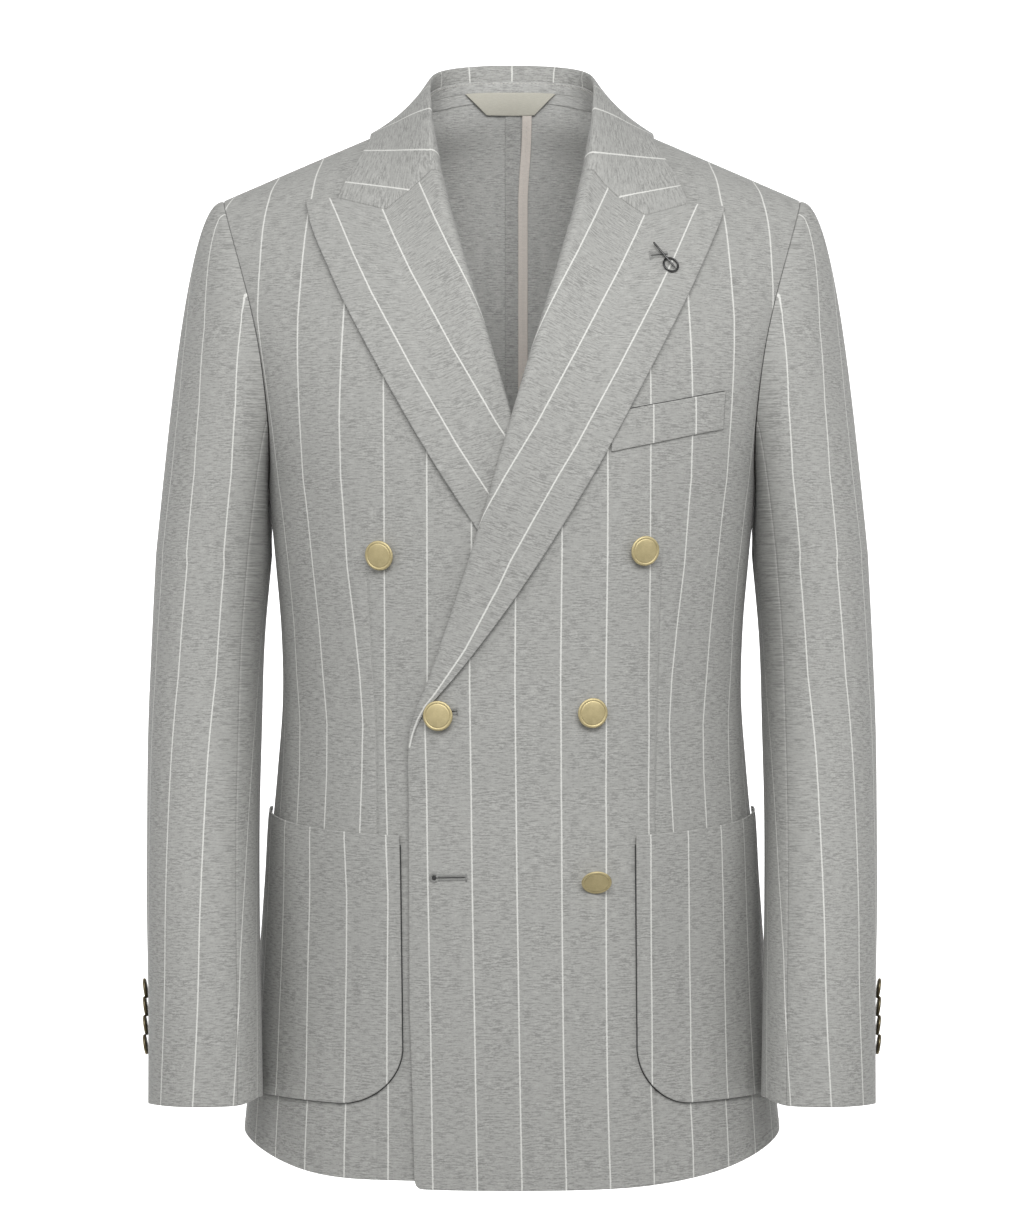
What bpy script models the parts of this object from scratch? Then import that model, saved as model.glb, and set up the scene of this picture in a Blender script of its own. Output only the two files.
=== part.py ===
"""Double-breasted blazer with peak lapels, filled out as if worn, hollow and open.

Tables and sizes are in millimetres and the meshes in metres, +Z up, the front towards -Y.
The origin is on the centre line where the wearer's shoulders carry the garment, level
with the neck ends of the shoulder seams. Each half is worked out on the wearer's left,
at +X, and mirrored for the right.
"""

import math
from collections import namedtuple

import bmesh
import bpy
import numpy as np
from mathutils import Matrix, Vector

MM = 0.001

# Cloth and seams.
CLOTH = 1.4  # a double-face jersey
LAPEL_WALL = 1.6
COLLAR_WALL = 1.1
TRIM_WALL = 1.0  # welt, tapes and label
SEAM = 0.3  # between two pieces that are sewn edge to edge
LAYER = 0.5  # between two layers that lie on each other

# Driving sizes of the cut.
SHOULDER_X = 202.0  # centre line to the top of the armhole
SHOULDER_Y = 6.0
SHOULDER_Z = -52.0
NECK_X = 67.0  # centre line to the neck end of the shoulder seam
NECK_Z = 5.8
NAPE_Y, NAPE_Z = 73.0, 31.0  # the collar seam at the centre back
BREAK_Z = -400.0  # where the lapel starts to roll
GORGE_Z = -34.0  # where the roll line meets the collar
UNDER_HEM_RISE = 5.0  # the lower front stops short of the upper one

# One row for each level of a half front or half back, from the hem up. The curve of a level
# runs from the centre line to the panel's edge. 'full' and 'turn' set how square it is, and
# 'sweep' how late it rises or falls towards the edge.
Level = namedtuple("Level", "centre_y centre_z edge_x edge_y edge_z full turn sweep")

FRONT = [
    Level(-140, -723.5, 187.0, 2, -700, 2.25, 2.25, 4.0),
    Level(-139, -671.0, 182.5, 2, -655, 2.20, 2.20, 4.0),
    Level(-137, -618.0, 176.5, 2, -608, 2.15, 2.15, 4.0),
    Level(-134, -562.0, 172.5, 2, -557, 2.15, 2.15, 4.0),
    Level(-131, -505.0, 168.5, 1, -503, 2.20, 2.20, 4.0),
    Level(-128, -450.0, 163.6, 0, -450, 2.25, 2.25, 4.0),
    Level(-127, -400.0, 160.0, 0, -400, 2.30, 2.30, 4.0),
    Level(-129, -352.0, 161.0, -1, -352, 2.30, 2.30, 4.0),
    Level(-133, -306.0, 165.0, -2, -304, 2.30, 2.30, 4.0),
    Level(-136, -264.0, 169.0, -5, -258, 2.30, 2.20, 4.0),
    Level(-136, -236.0, 166.8, -36, -237, 2.30, 1.80, 3.0),
    Level(-134, -204.0, 167.0, -56, -208, 2.30, 1.50, 2.5),
    Level(-128, -165.0, 171.5, -62, -168, 2.20, 1.30, 2.0),
    Level(-117, -126.0, 177.5, -56, -138, 2.10, 1.15, 1.7),
    Level(-99, -86.0, 185.5, -44, -108, 2.00, 1.05, 1.3),
    Level(-70, -42.0, 194.0, -26, -80, 2.00, 1.00, 1.1),
    Level(-34, 2.5, 200.0, -8, -60, 2.00, 1.00, 1.0),
    Level(SHOULDER_Y, 35.0, SHOULDER_X, SHOULDER_Y, SHOULDER_Z, 2.00, 1.00, 1.0),
]
BACK = [
    Level(133, -704.0, 176.0, 62, -701, 2.30, 1.90, 3.0),
    Level(131, -656.0, 171.5, 61, -655, 2.30, 1.90, 3.0),
    Level(127, -608.0, 166.5, 59, -608, 2.30, 1.90, 3.0),
    Level(121, -558.0, 162.0, 56, -558, 2.30, 1.90, 3.0),
    Level(114, -504.0, 157.5, 53, -504, 2.30, 1.90, 3.0),
    Level(108, -450.0, 152.5, 50, -450, 2.30, 1.90, 3.0),
    Level(106, -400.0, 149.0, 48, -400, 2.30, 1.90, 3.0),
    Level(110, -350.0, 151.0, 46, -350, 2.30, 1.80, 3.0),
    Level(118, -300.0, 157.0, 46, -298, 2.30, 1.70, 3.0),
    Level(125, -250.0, 165.5, 50, -240, 2.30, 1.60, 3.0),
    Level(127, -208.0, 170.0, 64, -204, 2.30, 1.50, 2.5),
    Level(125, -167.0, 175.0, 72, -166, 2.20, 1.35, 2.0),
    Level(119, -126.0, 181.0, 70, -130, 2.10, 1.20, 1.8),
    Level(110, -85.0, 187.5, 59, -98, 2.00, 1.10, 1.5),
    Level(99, -45.0, 194.0, 42, -75, 1.90, 1.00, 1.3),
    Level(88, -9.5, 199.0, 24, -60, 2.00, 0.60, 1.2),
    Level(78, 15.5, 201.2, 13, -54.7, 2.00, 0.22, 1.26),
    None,  # the shoulder seam and the back of the neck, from top_of_back
]
ARMHOLE = 9  # the level where the side seams meet the armhole
TOP = len(FRONT) - 1
ARMHOLE_DIP = 6.0  # of the side panel, under the arm

# Grid lines. Rows are levels, the same on all the panels, so that they meet at the seams.
ROWS_BELOW, ROWS_ABOVE = 12, 13
LEVELS = np.concatenate(
    [np.linspace(0, ARMHOLE, ROWS_BELOW + 1), np.linspace(ARMHOLE, TOP, ROWS_ABOVE + 1)[1:]]
)
# Columns of a front count its girth: 0 at the centre and 1 at the side seam.
POCKET_FRONT = 0.297
FRONT_INNER, FRONT_OUTER = 5, 9  # columns on each side of the pocket's front edge
OUTER_LINES = np.linspace(POCKET_FRONT, 1, FRONT_OUTER + 1)
BACK_LINES = np.array([0, 0.09, 0.18, 0.26, NECK_X / SHOULDER_X, 0.47, 0.60, 0.73, 0.85, 0.94, 1.0])
NECK_COLUMN = 4  # of the back, at the neck end of the shoulder seam
SIDE_LINES = np.linspace(0, 1, 6)
SIDE_HOLD = 0.36  # how long the side panel runs straight on from the front and the back

# The front edge: the lap below the break, the roll line above it, then the neck seam.
EdgePoint = namedtuple("EdgePoint", "z x")
FRONT_EDGE = [
    EdgePoint(-730, -64.0),
    EdgePoint(-660, -65.5),
    EdgePoint(-600, -67.5),
    EdgePoint(-520, -68.8),
    EdgePoint(-440, -68.6),
    EdgePoint(-418, -66.5),
    EdgePoint(-402, -61.5),
    EdgePoint(-386, -54.9),
    EdgePoint(-352, -43.5),
    EdgePoint(-312, -30.5),
    EdgePoint(-264, -15.8),
    EdgePoint(-226, -5.0),
    EdgePoint(-180, 8.5),
    EdgePoint(-132, 22.8),
    EdgePoint(-113, 28.5),
    EdgePoint(-69, 40.8),
    EdgePoint(-34, 48.7),
    EdgePoint(-18, 55.0),
    EdgePoint(-5, 61.0),
    EdgePoint(NECK_Z, NECK_X),
    EdgePoint(30, 86.0),
]
FOLD_SETBACK = LAPEL_WALL + 1.8  # from the fold of the lapel back to the front's own edge

# How far the upper front stands off the body where it laps the lower one.
LAP_FULL_X, LAP_GONE_X = 74.0, 122.0
LAP_RISE_HIGH, LAP_RISE_LOW = 6.4, 3.6
LAP_HIGH_Z, LAP_LOW_Z = -410.0, -470.0
LAP_CROSS_Z, LAP_FREE_Z = -190.0, -112.0  # above the crossing of the lapels it comes to rest

# Lapels and collar, in the front view.
Place = namedtuple("Place", "x z")
GORGE = [Place(65.9, -51.3), Place(75.1, -58.1)]
NOTCH = Place(89.0, -67.9)
COLLAR_CORNER = Place(119.8, -59.8)
PEAK_SHOULDER = Place(131.0, -57.4)
PEAK_TIP = Place(145.0, -58.6)
LAPEL_EDGE = [
    Place(-53.1, -400.4),
    Place(-48.6, -395.7),
    Place(-28.0, -371.4),
    Place(1.4, -332.0),
    Place(30.0, -288.5),
    Place(58.5, -240.0),
    Place(86.5, -186.5),
    Place(113.9, -134.0),
    Place(126.5, -106.0),
    Place(139.5, -77.0),
    PEAK_TIP,
]
LAPEL_LIFT = 4.2  # of its face over the front
LAPEL_PRESSED = 2.3  # where the other front lies on it
LAPEL_ROLL_LOW, LAPEL_ROLL_HIGH = 3.2, 10.5  # of its fold, at the break and at the gorge
ROLL_REACH = 40.0  # how far from the fold the roll lies down
BREAK_ROW, GORGE_ROW = 8, 22  # of the front's grid
RETURN = 9.0  # of the lapel behind the front
PRESS_START, PRESS_END = -24.0, -6.0  # across the other front's edge
COLLAR_COLUMNS = 6  # from the fold to the corner of the collar
PEAK_COLUMNS = 2  # from there to the tip of the lapel

# The fold of the collar, from the centre back round to the roll line.
COLLAR_FOLD = [
    (0.0, 78.0, 53.8),
    (20.0, 76.3, 53.2),
    (38.0, 69.0, 50.8),
    (49.0, 56.0, 47.0),
    (54.8, 38.0, 42.0),
    (57.4, 18.0, 36.0),
    (58.0, 0.0, 28.5),
    (57.0, -19.0, 17.0),
    (54.6, -38.0, 0.5),
    (51.8, -51.5, -16.0),
    (48.7, -62.5, GORGE_Z),
]
# Its outer edge: a share and level of the back, then places on the front.
BackPlace = namedtuple("BackPlace", "share level")
COLLAR_EDGE_BACK = [
    BackPlace(0.0, 15.72),
    BackPlace(0.12, 15.70),
    BackPlace(0.25, 15.75),
    BackPlace(0.37, 16.0),
    BackPlace(0.435, 16.45),
    BackPlace(0.470, 17.0),
]
COLLAR_EDGE_FRONT = [Place(95.6, -11.5), Place(102.0, -21.0), Place(112.0, -41.0), COLLAR_CORNER]
COLLAR_LIFT = 3.6
COLLAR_HALF, STAND_ROWS = 15, 4
STAND_LIFT = 0.8  # of the stand's lower edge over the neck seam
STAND_BULGE = 4.0  # inwards, half way up
FOLD_IN, FOLD_OUT = 4.0, 3.0  # how full the fold is on each side of its crest
STAND_HOLD, FALL_HOLD, FALL_OUT, FALL_UP = 0.45, 0.38, -3.0, 0.0  # how the curves of both leave

# Patch pockets.
POCKET_BACK = 1.2  # round the girth, past the side seam
POCKET_MOUTH_FRONT_Z, POCKET_MOUTH_BACK_Z = -489.5, -476.3
POCKET_MOUTH_LEVEL = 0.78  # share of its width past which the mouth runs level
POCKET_BOTTOM_Z = -669.0
POCKET_CORNER_Z = 37.0
POCKET_LIFT, POCKET_FLARE = 2.5, 1.2  # of its face over the front; more at the mouth
POCKET_ROWS = 8
# How far out its front edge lies at the mouth and at the bottom, and the girth that its
# corner takes. The two pockets are not quite alike.
PocketEdge = namedtuple("PocketEdge", "mouth bottom corner")
POCKET_EDGE = {1: PocketEdge(80.9, 82.0, 0.16), -1: PocketEdge(74.4, 72.6, 0.135)}

# Chest pocket welt.
WELT_LINES = [0.25, *OUTER_LINES[0:5], 0.652]
WELT_X, WELT_Z, WELT_SLOPE, WELT_HEIGHT = 89.0, -228.7, 0.222, 25.5
CHEST_HALF_WIDTH = 167.0

# One row for each level of a sleeve, from the armpit down.
Ring = namedtuple("Ring", "z centre_x centre_y half_x half_y")
SLEEVE = [
    Ring(-300, 208.4, 2, 40.0, 69.0),
    Ring(-360, 212.0, -4, 38.8, 67.5),
    Ring(-420, 213.2, -16, 38.9, 65.5),
    Ring(-480, 212.9, -34, 38.3, 62.5),
    Ring(-540, 211.2, -56, 38.1, 58.5),
    Ring(-600, 208.6, -76, 37.9, 54.0),
    Ring(-668, 206.7, -93, 38.3, 50.0),
]
SLEEVE_FULL = 2.4
CAP_ROWS, ARM_ROWS = 8, 11
CAP_BEND, CAP_BEND_UNDER = 0.44, 0.9  # low where the cap turns over sharply
UNDERARM_OUT = 1.4  # keeps the sleeve off the side panel
CUFF_DROP_BACK = 8.0
# Where the seams lie round the sleeve; the back one winds to the outside of the cuff.
BACK_SEAM_AT_CAP, BACK_SEAM_AT_CUFF = -0.26, -0.04
FRONT_SEAM_AT_CAP, FRONT_SEAM_AT_CUFF = 0.335, 0.345
TOP_COLUMNS, UNDER_COLUMNS = 11, 7

# Buttons: places in the front view, and how far each one hangs down.
Button = namedtuple("Button", "name side x z tilt")
BUTTONS = [
    Button("button_top_right", -1, 87.2, -302.0, 5),
    Button("button_top_left", 1, 87.2, -299.0, 5),
    Button("button_waist_right", 1, -48.6, -409.0, 4),
    Button("button_waist_left", 1, 52.9, -407.0, 6),
    Button("button_hip_left", 1, 56.0, -517.5, 34),
]
BUTTON_PROFILE = [
    (0.0, 4.6),
    (6.8, 4.4),
    (7.8, 5.3),
    (9.2, 5.4),
    (10.1, 4.5),
    (9.3, 3.0),
    (3.0, 2.4),
    (2.8, 0.4),
    (0.0, 0.4),
]
RIM_SHARE = 0.62  # of the drop of a tipped rim that the bevel behind it leaves
CUFF_PROFILE = [(0.0, 2.2), (4.9, 2.0), (6.1, 2.6), (7.0, 1.8), (6.2, 0.7), (0.0, 0.5)]
CUFF_BUTTON_TILT = 14.0
CUFF_BUTTON_FIRST_Z, CUFF_BUTTON_STEP, CUFF_BUTTONS = -600.0, 11.2, 4

PIN_RING, PIN_WIRE = 5.2, 0.6
PIN_RING_PLACE = Place(106.8, -108.0)
PIN_STICK = [Place(94.9, -92.0), Place(111.5, -111.0)]
PIN_LIFT = 1.0

# Inside the neck.
LABEL_TOP, LABEL_BOTTOM = 31.5, 18.2  # half widths
LABEL_LOW, LABEL_HIGH = 16.27, 17.0  # levels of the back
SEAM_TAPE_X0, SEAM_TAPE_X1 = 5.0, 12.3

Colour = namedtuple("Colour", "rgb roughness metallic")
MATERIALS = {
    "striped_jersey": Colour((0.36, 0.36, 0.35), 0.9, 0.0),
    "seam_binding": Colour((0.42, 0.38, 0.35), 0.8, 0.0),
    "label_satin": Colour((0.33, 0.32, 0.29), 0.6, 0.0),
    "matt_brass": Colour((0.50, 0.40, 0.19), 0.45, 1.0),
    "dark_bronze": Colour((0.12, 0.09, 0.05), 0.45, 1.0),
    "dark_steel": Colour((0.05, 0.05, 0.05), 0.35, 1.0),
}

garment = bpy.data.collections.new("Double-breasted blazer")


# --- Curves and surfaces -------------------------------------------------------------------


def smooth(low, high, value):
    """0 at low, 1 at high, with no corner at either."""
    share = np.clip((np.asarray(value, float) - low) / (high - low), 0, 1)
    return share * share * (3 - 2 * share)


def unit(vectors):
    return vectors / np.maximum(np.linalg.norm(vectors, axis=-1, keepdims=True), 1e-9)


def through(rows, t, beyond=None):
    """Catmull-Rom curves through rows[k] at t = k, heading past the last row for beyond."""
    rows = np.asarray(rows, float)
    before = 2 * rows[0] - rows[1]
    after = 2 * rows[-1] - rows[-2] if beyond is None else beyond
    knots = np.concatenate([before[None], rows, after[None]])
    t = np.clip(t, 0, len(rows) - 1)
    k = np.minimum(t.astype(int), len(rows) - 2)
    f = (t - k)[:, None]
    point = np.arange(rows.shape[1]) if rows.shape[1] > 1 else 0
    a, b, c, d = (knots[k + i, point] for i in range(4))
    return b + 0.5 * f * (c - a + f * (2 * a - 5 * b + 4 * c - d + f * (3 * (b - c) + d - a)))


def curve(points, count):
    """count points of a smooth curve through the given ones."""
    knots = np.asarray(points, float)[:, None, :]
    return through(knots, np.linspace(0, len(knots) - 1, count))


def by_length(points, count):
    """count points at even lengths along a polyline."""
    points = np.asarray(points, float)
    run = np.concatenate([[0], np.cumsum(np.linalg.norm(np.diff(points, axis=0), axis=1))])
    wanted = np.linspace(0, run[-1], count)
    return np.stack([np.interp(wanted, run, axis) for axis in points.T], axis=1)


def bezier(p0, p1, p2, p3, share):
    rest = 1 - share
    return rest**3 * p0 + 3 * rest**2 * share * p1 + 3 * rest * share**2 * p2 + share**3 * p3


def level_curve(level, share):
    s = np.clip(np.abs(share), 0, 1)
    reach = (1 - s**level.full) ** (1 / level.turn)
    y = level.edge_y + (level.centre_y - level.edge_y) * reach
    z = level.centre_z + (level.edge_z - level.centre_z) * s**level.sweep
    return np.stack([level.edge_x * share, y, z], axis=-1)


def top_of_back(share):
    """The shoulder seam, and inside its neck end the collar's seam round to the nape."""
    x = SHOULDER_X * np.abs(share)
    slope = (NECK_Z - SHOULDER_Z) / (SHOULDER_X - NECK_X)
    round_neck = np.sqrt(np.clip(1 - (x / NECK_X) ** 2.4, 0, 1))
    y = SHOULDER_Y + (NAPE_Y - SHOULDER_Y) * round_neck
    z = NECK_Z + (NAPE_Z - NECK_Z) * round_neck - np.maximum(x - NECK_X, 0) * slope
    return np.stack([SHOULDER_X * share, y, z], axis=-1)


def front_rows(share):
    return [level_curve(level, share) for level in FRONT]


def back_rows(share):
    return [top_of_back(share) if level is None else level_curve(level, share) for level in BACK]


def front_base(share, t):
    """The front of the body without any lap. It runs on over the shoulder into the back."""
    return through(front_rows(share), t, beyond=back_rows(share)[-2])


def back_base(share, t):
    rows = back_rows(share)
    straight_on = 2 * rows[-1] - rows[-2]
    over = smooth(NECK_X * 0.7, NECK_X, SHOULDER_X * np.abs(share))[:, None]
    return through(rows, t, beyond=straight_on * (1 - over) + front_rows(share)[-2] * over)


def normals_of(surface, share, t, outward, step=0.02):
    """Unit normals by differences, taken just inside the edges of the surface."""
    share = np.clip(share, -0.985, 0.985)
    t = np.clip(t, 0.03, TOP - 0.03)
    across = surface(share + step / 2, t) - surface(share - step / 2, t)
    up = surface(share, t + step) - surface(share, t - step)
    return unit(np.cross(across, up)) * outward


def front_normals(share, t):
    return normals_of(front_base, share, t, 1)


def back_normals(share, t):
    return normals_of(back_base, share, t, -1)


def lap_rise(side, x, z):
    """How far a front stands off the body: the left one lies over the right one."""
    if side < 0:
        return np.zeros_like(x)
    height = LAP_RISE_LOW + (LAP_RISE_HIGH - LAP_RISE_LOW) * smooth(LAP_LOW_Z, LAP_HIGH_Z, z)
    return height * (1 - smooth(LAP_FULL_X, LAP_GONE_X, x)) * (1 - smooth(LAP_CROSS_Z, LAP_FREE_Z, z))


def front_surface(side, share, t, lift=0.0):
    """Outer face of a front, or what lies lifted off it."""
    base = front_base(share, t)
    off = lap_rise(side, base[:, 0], base[:, 2]) + lift
    return base + front_normals(share, t) * off[:, None]


def level_at(share_of, z):
    """Levels where the front is z high; share_of gives the share for trial levels."""
    low, high = np.zeros(z.shape), np.full(z.shape, float(TOP))
    for _ in range(30):
        t = (low + high) / 2
        above = front_base(share_of(t), t)[:, 2] > z
        low, high = np.where(above, low, t), np.where(above, t, high)
    return t


def place_on_front(x, z):
    """Share and level on the front for places in the front view."""

    def share_of(t):
        return np.clip(x / front_base(np.ones_like(t), t)[:, 0], -1, 1)

    t = level_at(share_of, z)
    return share_of(t), t


def laid_on_front(side, x, z, lift):
    """Points that lie off a front and show at places in the front view, and the normals."""
    x, z, lift = (np.array(a, float) for a in np.broadcast_arrays(x, z, lift))
    shape = x.shape
    x, z, lift = x.ravel(), z.ravel(), lift.ravel()
    base_x, base_z = x, z
    for _ in range(4):
        share, t = place_on_front(base_x, base_z)
        normal = front_normals(share, t)
        off = lap_rise(side, base_x, base_z) + lift
        base_x, base_z = x - off * normal[:, 0], z - off * normal[:, 2]
    return front_surface(side, share, t, lift).reshape(*shape, 3), normal.reshape(*shape, 3)


def fold_x(z):
    return np.interp(z, [p.z for p in FRONT_EDGE], [p.x for p in FRONT_EDGE])


def panel_edge_x(z):
    """The front's own edge, which lies inside the fold of the lapel."""
    inside = smooth(BREAK_Z, BREAK_Z + 25, z) * (1 - smooth(GORGE_Z - 5, GORGE_Z + 15, z))
    return fold_x(z) + FOLD_SETBACK * inside


# --- Building blocks -----------------------------------------------------------------------


def material(name):
    found = bpy.data.materials.get(name)
    if found:
        return found
    made = bpy.data.materials.new(name)
    made.use_nodes = True
    shader = made.node_tree.nodes["Principled BSDF"]
    colour = MATERIALS[name]
    shader.inputs["Base Color"].default_value = (*colour.rgb, 1)
    shader.inputs["Roughness"].default_value = colour.roughness
    shader.inputs["Metallic"].default_value = colour.metallic
    return made


def show(mesh, name, finish, place=None):
    """A named object in the garment's collection."""
    thing = bpy.data.objects.new(name, mesh)
    garment.objects.link(thing)
    mesh.materials.append(material(finish))
    if place is not None:
        thing.matrix_world = place
    return thing


def trimmed(points, edges):
    """The grid with the named edges drawn back from their seams."""
    points = points.copy()
    pairs = {
        "left": (points[:, 0], points[:, 1]),
        "right": (points[:, -1], points[:, -2]),
        "bottom": (points[0], points[1]),
        "top": (points[-1], points[-2]),
    }
    for edge in edges:
        line, inner = pairs[edge]
        line += unit(inner - line) * SEAM / 2
    return points


def grid_normals(grid):
    """Unit normals on the face of a grid."""
    return unit(np.cross(np.gradient(grid, axis=1), np.gradient(grid, axis=0)))


def cloth(name, face, outward=None, wall=CLOTH, seams=(), finish="striped_jersey", mirror=False):
    """A wall of cloth behind a grid of points, rows by columns, whose face looks outwards."""
    outward = grid_normals(face) if outward is None else outward
    face = trimmed(face, seams)
    if mirror:
        face, outward = (a[:, ::-1] * (-1, 1, 1) for a in (face, outward))
    behind = face - outward * wall
    rows, columns = face.shape[0] - 1, face.shape[1] - 1
    grid = bmesh.new()
    bmesh.ops.create_grid(grid, x_segments=columns, y_segments=rows, size=1)
    place = grid.verts.layers.int.new("place")
    for vert in grid.verts:
        column = round((vert.co.x + 1) / 2 * columns)
        row = round((vert.co.y + 1) / 2 * rows)
        vert[place] = row * (columns + 1) + column
        vert.co = face[row, column] * MM
    wall_side = bmesh.ops.extrude_face_region(grid, geom=grid.faces[:])["geom"]
    for vert in wall_side:
        if isinstance(vert, bmesh.types.BMVert):
            vert.co = behind.reshape(-1, 3)[vert[place]] * MM
    bmesh.ops.recalc_face_normals(grid, faces=grid.faces[:])
    mesh = bpy.data.meshes.new(name)
    grid.to_mesh(mesh)
    grid.free()
    return show(mesh, name, finish)


def turned(name, profile, finish, place, steps):
    """A closed solid from a profile of (radius, height), top to bottom, spun about Z."""
    mesh = bpy.data.meshes.new(name)
    verts = [(radius * MM, 0, height * MM) for radius, height in profile]
    mesh.from_pydata(verts, [(i, i + 1) for i in range(len(verts) - 1)], [])
    thing = show(mesh, name, finish, place)
    spin = thing.modifiers.new("Screw", "SCREW")
    spin.steps = steps
    spin.render_steps = steps
    spin.use_merge_vertices = True
    spin.merge_threshold = 0.00001
    return thing


def adopt(thing, name, finish, place):
    """Brings a primitive into the garment's collection."""
    thing.name = thing.data.name = name
    for collection in thing.users_collection:
        collection.objects.unlink(thing)
    garment.objects.link(thing)
    thing.data.materials.append(material(finish))
    thing.matrix_world = place


def facing(point, normal, tilt=0.0):
    """Matrix that stands a piece on a point, its axis along the normal and tipped down."""
    normal = Vector(normal).normalized()
    side = Vector((0, 0, 1)).cross(normal).normalized()
    normal = Matrix.Rotation(math.radians(tilt), 3, side) @ normal
    up = normal.cross(side)
    turn = Matrix((side, up, normal)).transposed().to_4x4()
    return Matrix.Translation(Vector(point) * MM) @ turn


def on_panel(grid, rows, columns):
    """Points of a grid at part rows and part columns, on its flat facets."""
    row, column = np.meshgrid(np.asarray(rows, float), np.asarray(columns, float), indexing="ij")
    r = np.minimum(row.astype(int), grid.shape[0] - 2)
    c = np.minimum(column.astype(int), grid.shape[1] - 2)
    fr, fc = (row - r)[..., None], (column - c)[..., None]
    low = grid[r, c] * (1 - fc) + grid[r, c + 1] * fc
    high = grid[r + 1, c] * (1 - fc) + grid[r + 1, c + 1] * fc
    return low * (1 - fr) + high * fr


# --- Body ----------------------------------------------------------------------------------


def front_grid(side):
    """Grid of a front from its free edge to the side seam and the armhole."""
    t = LEVELS
    share = np.zeros_like(t)
    for _ in range(30):
        point = front_base(share, t)
        width = front_base(np.ones_like(t), t)[:, 0]
        share = (share + panel_edge_x(point[:, 2]) / width) / 2
    edge_line = np.arcsin(share) / (np.pi / 2)
    inner = edge_line[:, None] + (POCKET_FRONT - edge_line)[:, None] * np.linspace(0, 1, FRONT_INNER + 1)
    lines = np.concatenate([inner, np.repeat(OUTER_LINES[None, 1:], len(t), axis=0)], axis=1)
    level = np.repeat(t[:, None], lines.shape[1], axis=1)
    share = np.sin(lines * np.pi / 2).ravel()
    points = front_surface(side, share, level.ravel()).reshape(*lines.shape, 3)
    if side < 0:
        points[..., 2] += UNDER_HEM_RISE * (1 - smooth(60, 150, points[..., 0])) * (1 - smooth(0, 3, level))
    return points, front_normals(share, level.ravel()).reshape(*lines.shape, 3)


def back_grid():
    """Grid of a half back from the centre seam to the side and the armhole."""
    level, share = np.meshgrid(LEVELS, BACK_LINES, indexing="ij")
    level_list, share_list = level.ravel(), share.ravel()
    points = back_base(share_list, level_list).reshape(*level.shape, 3)
    return points, back_normals(share_list, level_list).reshape(*level.shape, 3)


def side_surface(across, t):
    """Side panel: across is 0 at the front's seam and 1 at the back's."""
    near = front_base(np.ones_like(t), t)
    far = back_base(np.ones_like(t), t)
    way = unit(far - back_base(np.full_like(t, 0.97), t))
    hold = SIDE_HOLD * np.linalg.norm(far - near, axis=1, keepdims=True)
    return bezier(near, near + [0, 1, 0] * hold, far + way * hold, far, across[:, None])


def side_grid():
    level, across = np.meshgrid(LEVELS[: ROWS_BELOW + 1], SIDE_LINES, indexing="ij")
    points = side_surface(across.ravel(), level.ravel()).reshape(*level.shape, 3)
    points[..., 2] -= np.sin(np.pi * across) * ARMHOLE_DIP * smooth(ARMHOLE - 2, ARMHOLE, level)
    return points, grid_normals(points)


def round_body(side, lines, z):
    """Points and normals on the body's girth: 0 is the centre front, 1 the side seam."""
    shape = z.shape
    lines, z = np.broadcast_to(lines, shape).ravel(), z.ravel()
    share = np.sin(np.minimum(lines, 1) * np.pi / 2)
    t = level_at(lambda trial: share, z)
    past = (lines > 1)[:, None]
    points = np.where(past, side_surface(np.maximum(lines - 1, 0), t), front_surface(side, share, t))
    turn = smooth(0.85, 1.0, lines)[:, None]
    normal = unit(front_normals(share, t) * (1 - turn) + np.array([1.0, 0, 0]) * turn)
    return points.reshape(*shape, 3), normal.reshape(*shape, 3)


# --- Lapels and collar ---------------------------------------------------------------------


def lapel_lift(side, x, z, distance):
    """Height of the lapel's face over its front, at a distance from the fold."""
    roll = LAPEL_ROLL_LOW + (LAPEL_ROLL_HIGH - LAPEL_ROLL_LOW) * smooth(BREAK_Z + 60, GORGE_Z, z)
    rest = np.full_like(roll, LAPEL_LIFT)
    if side < 0:
        free = 1 - smooth(PRESS_START, PRESS_END, -x - fold_x(z))
        roll = LAPEL_PRESSED + (roll - LAPEL_PRESSED) * free
        rest = LAPEL_PRESSED + (rest - LAPEL_PRESSED) * free
    return rest + (roll - rest) * (1 - smooth(0, ROLL_REACH, distance))


def gorge_path(crest):
    """Places from the roll along the gorge seam, the closed notch and the lapel's top edge."""
    seam = by_length([crest, *GORGE, NOTCH], COLLAR_COLUMNS - 1)
    notch = by_length([NOTCH, COLLAR_CORNER], 3)[1:]
    peak = by_length([COLLAR_CORNER, PEAK_SHOULDER, PEAK_TIP], PEAK_COLUMNS + 1)[1:]
    return np.concatenate([seam, notch, peak])


def wrap_fold(apex, normal, across, lift, degrees):
    """A point on the roll: -90 lies behind the front, 0 is the fold, 90 the lapel's face."""
    angle = math.radians(degrees)
    half = (lift + CLOTH + LAYER + LAPEL_WALL)[..., None] / 2
    reach = half if degrees > 0 else FOLD_SETBACK
    height = lift[..., None] - half * (1 - math.sin(angle))
    return apex + across * reach * (1 - math.cos(angle)) + normal * height


def roll_of(side):
    """The roll of a lapel along its front's edge: apex, normal, way across, lift, half depth."""
    face, outward = front_grid(side)
    rows = slice(BREAK_ROW, GORGE_ROW + 1)
    edge, normal = face[rows, 0], outward[rows, 0]
    across = unit(face[rows, 1] - edge)
    apex = edge - across * FOLD_SETBACK
    lift = lapel_lift(side, apex[:, 0], apex[:, 2], 0.0)
    return apex, normal, across, lift, (lift + CLOTH + LAYER + LAPEL_WALL) / 2


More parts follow.
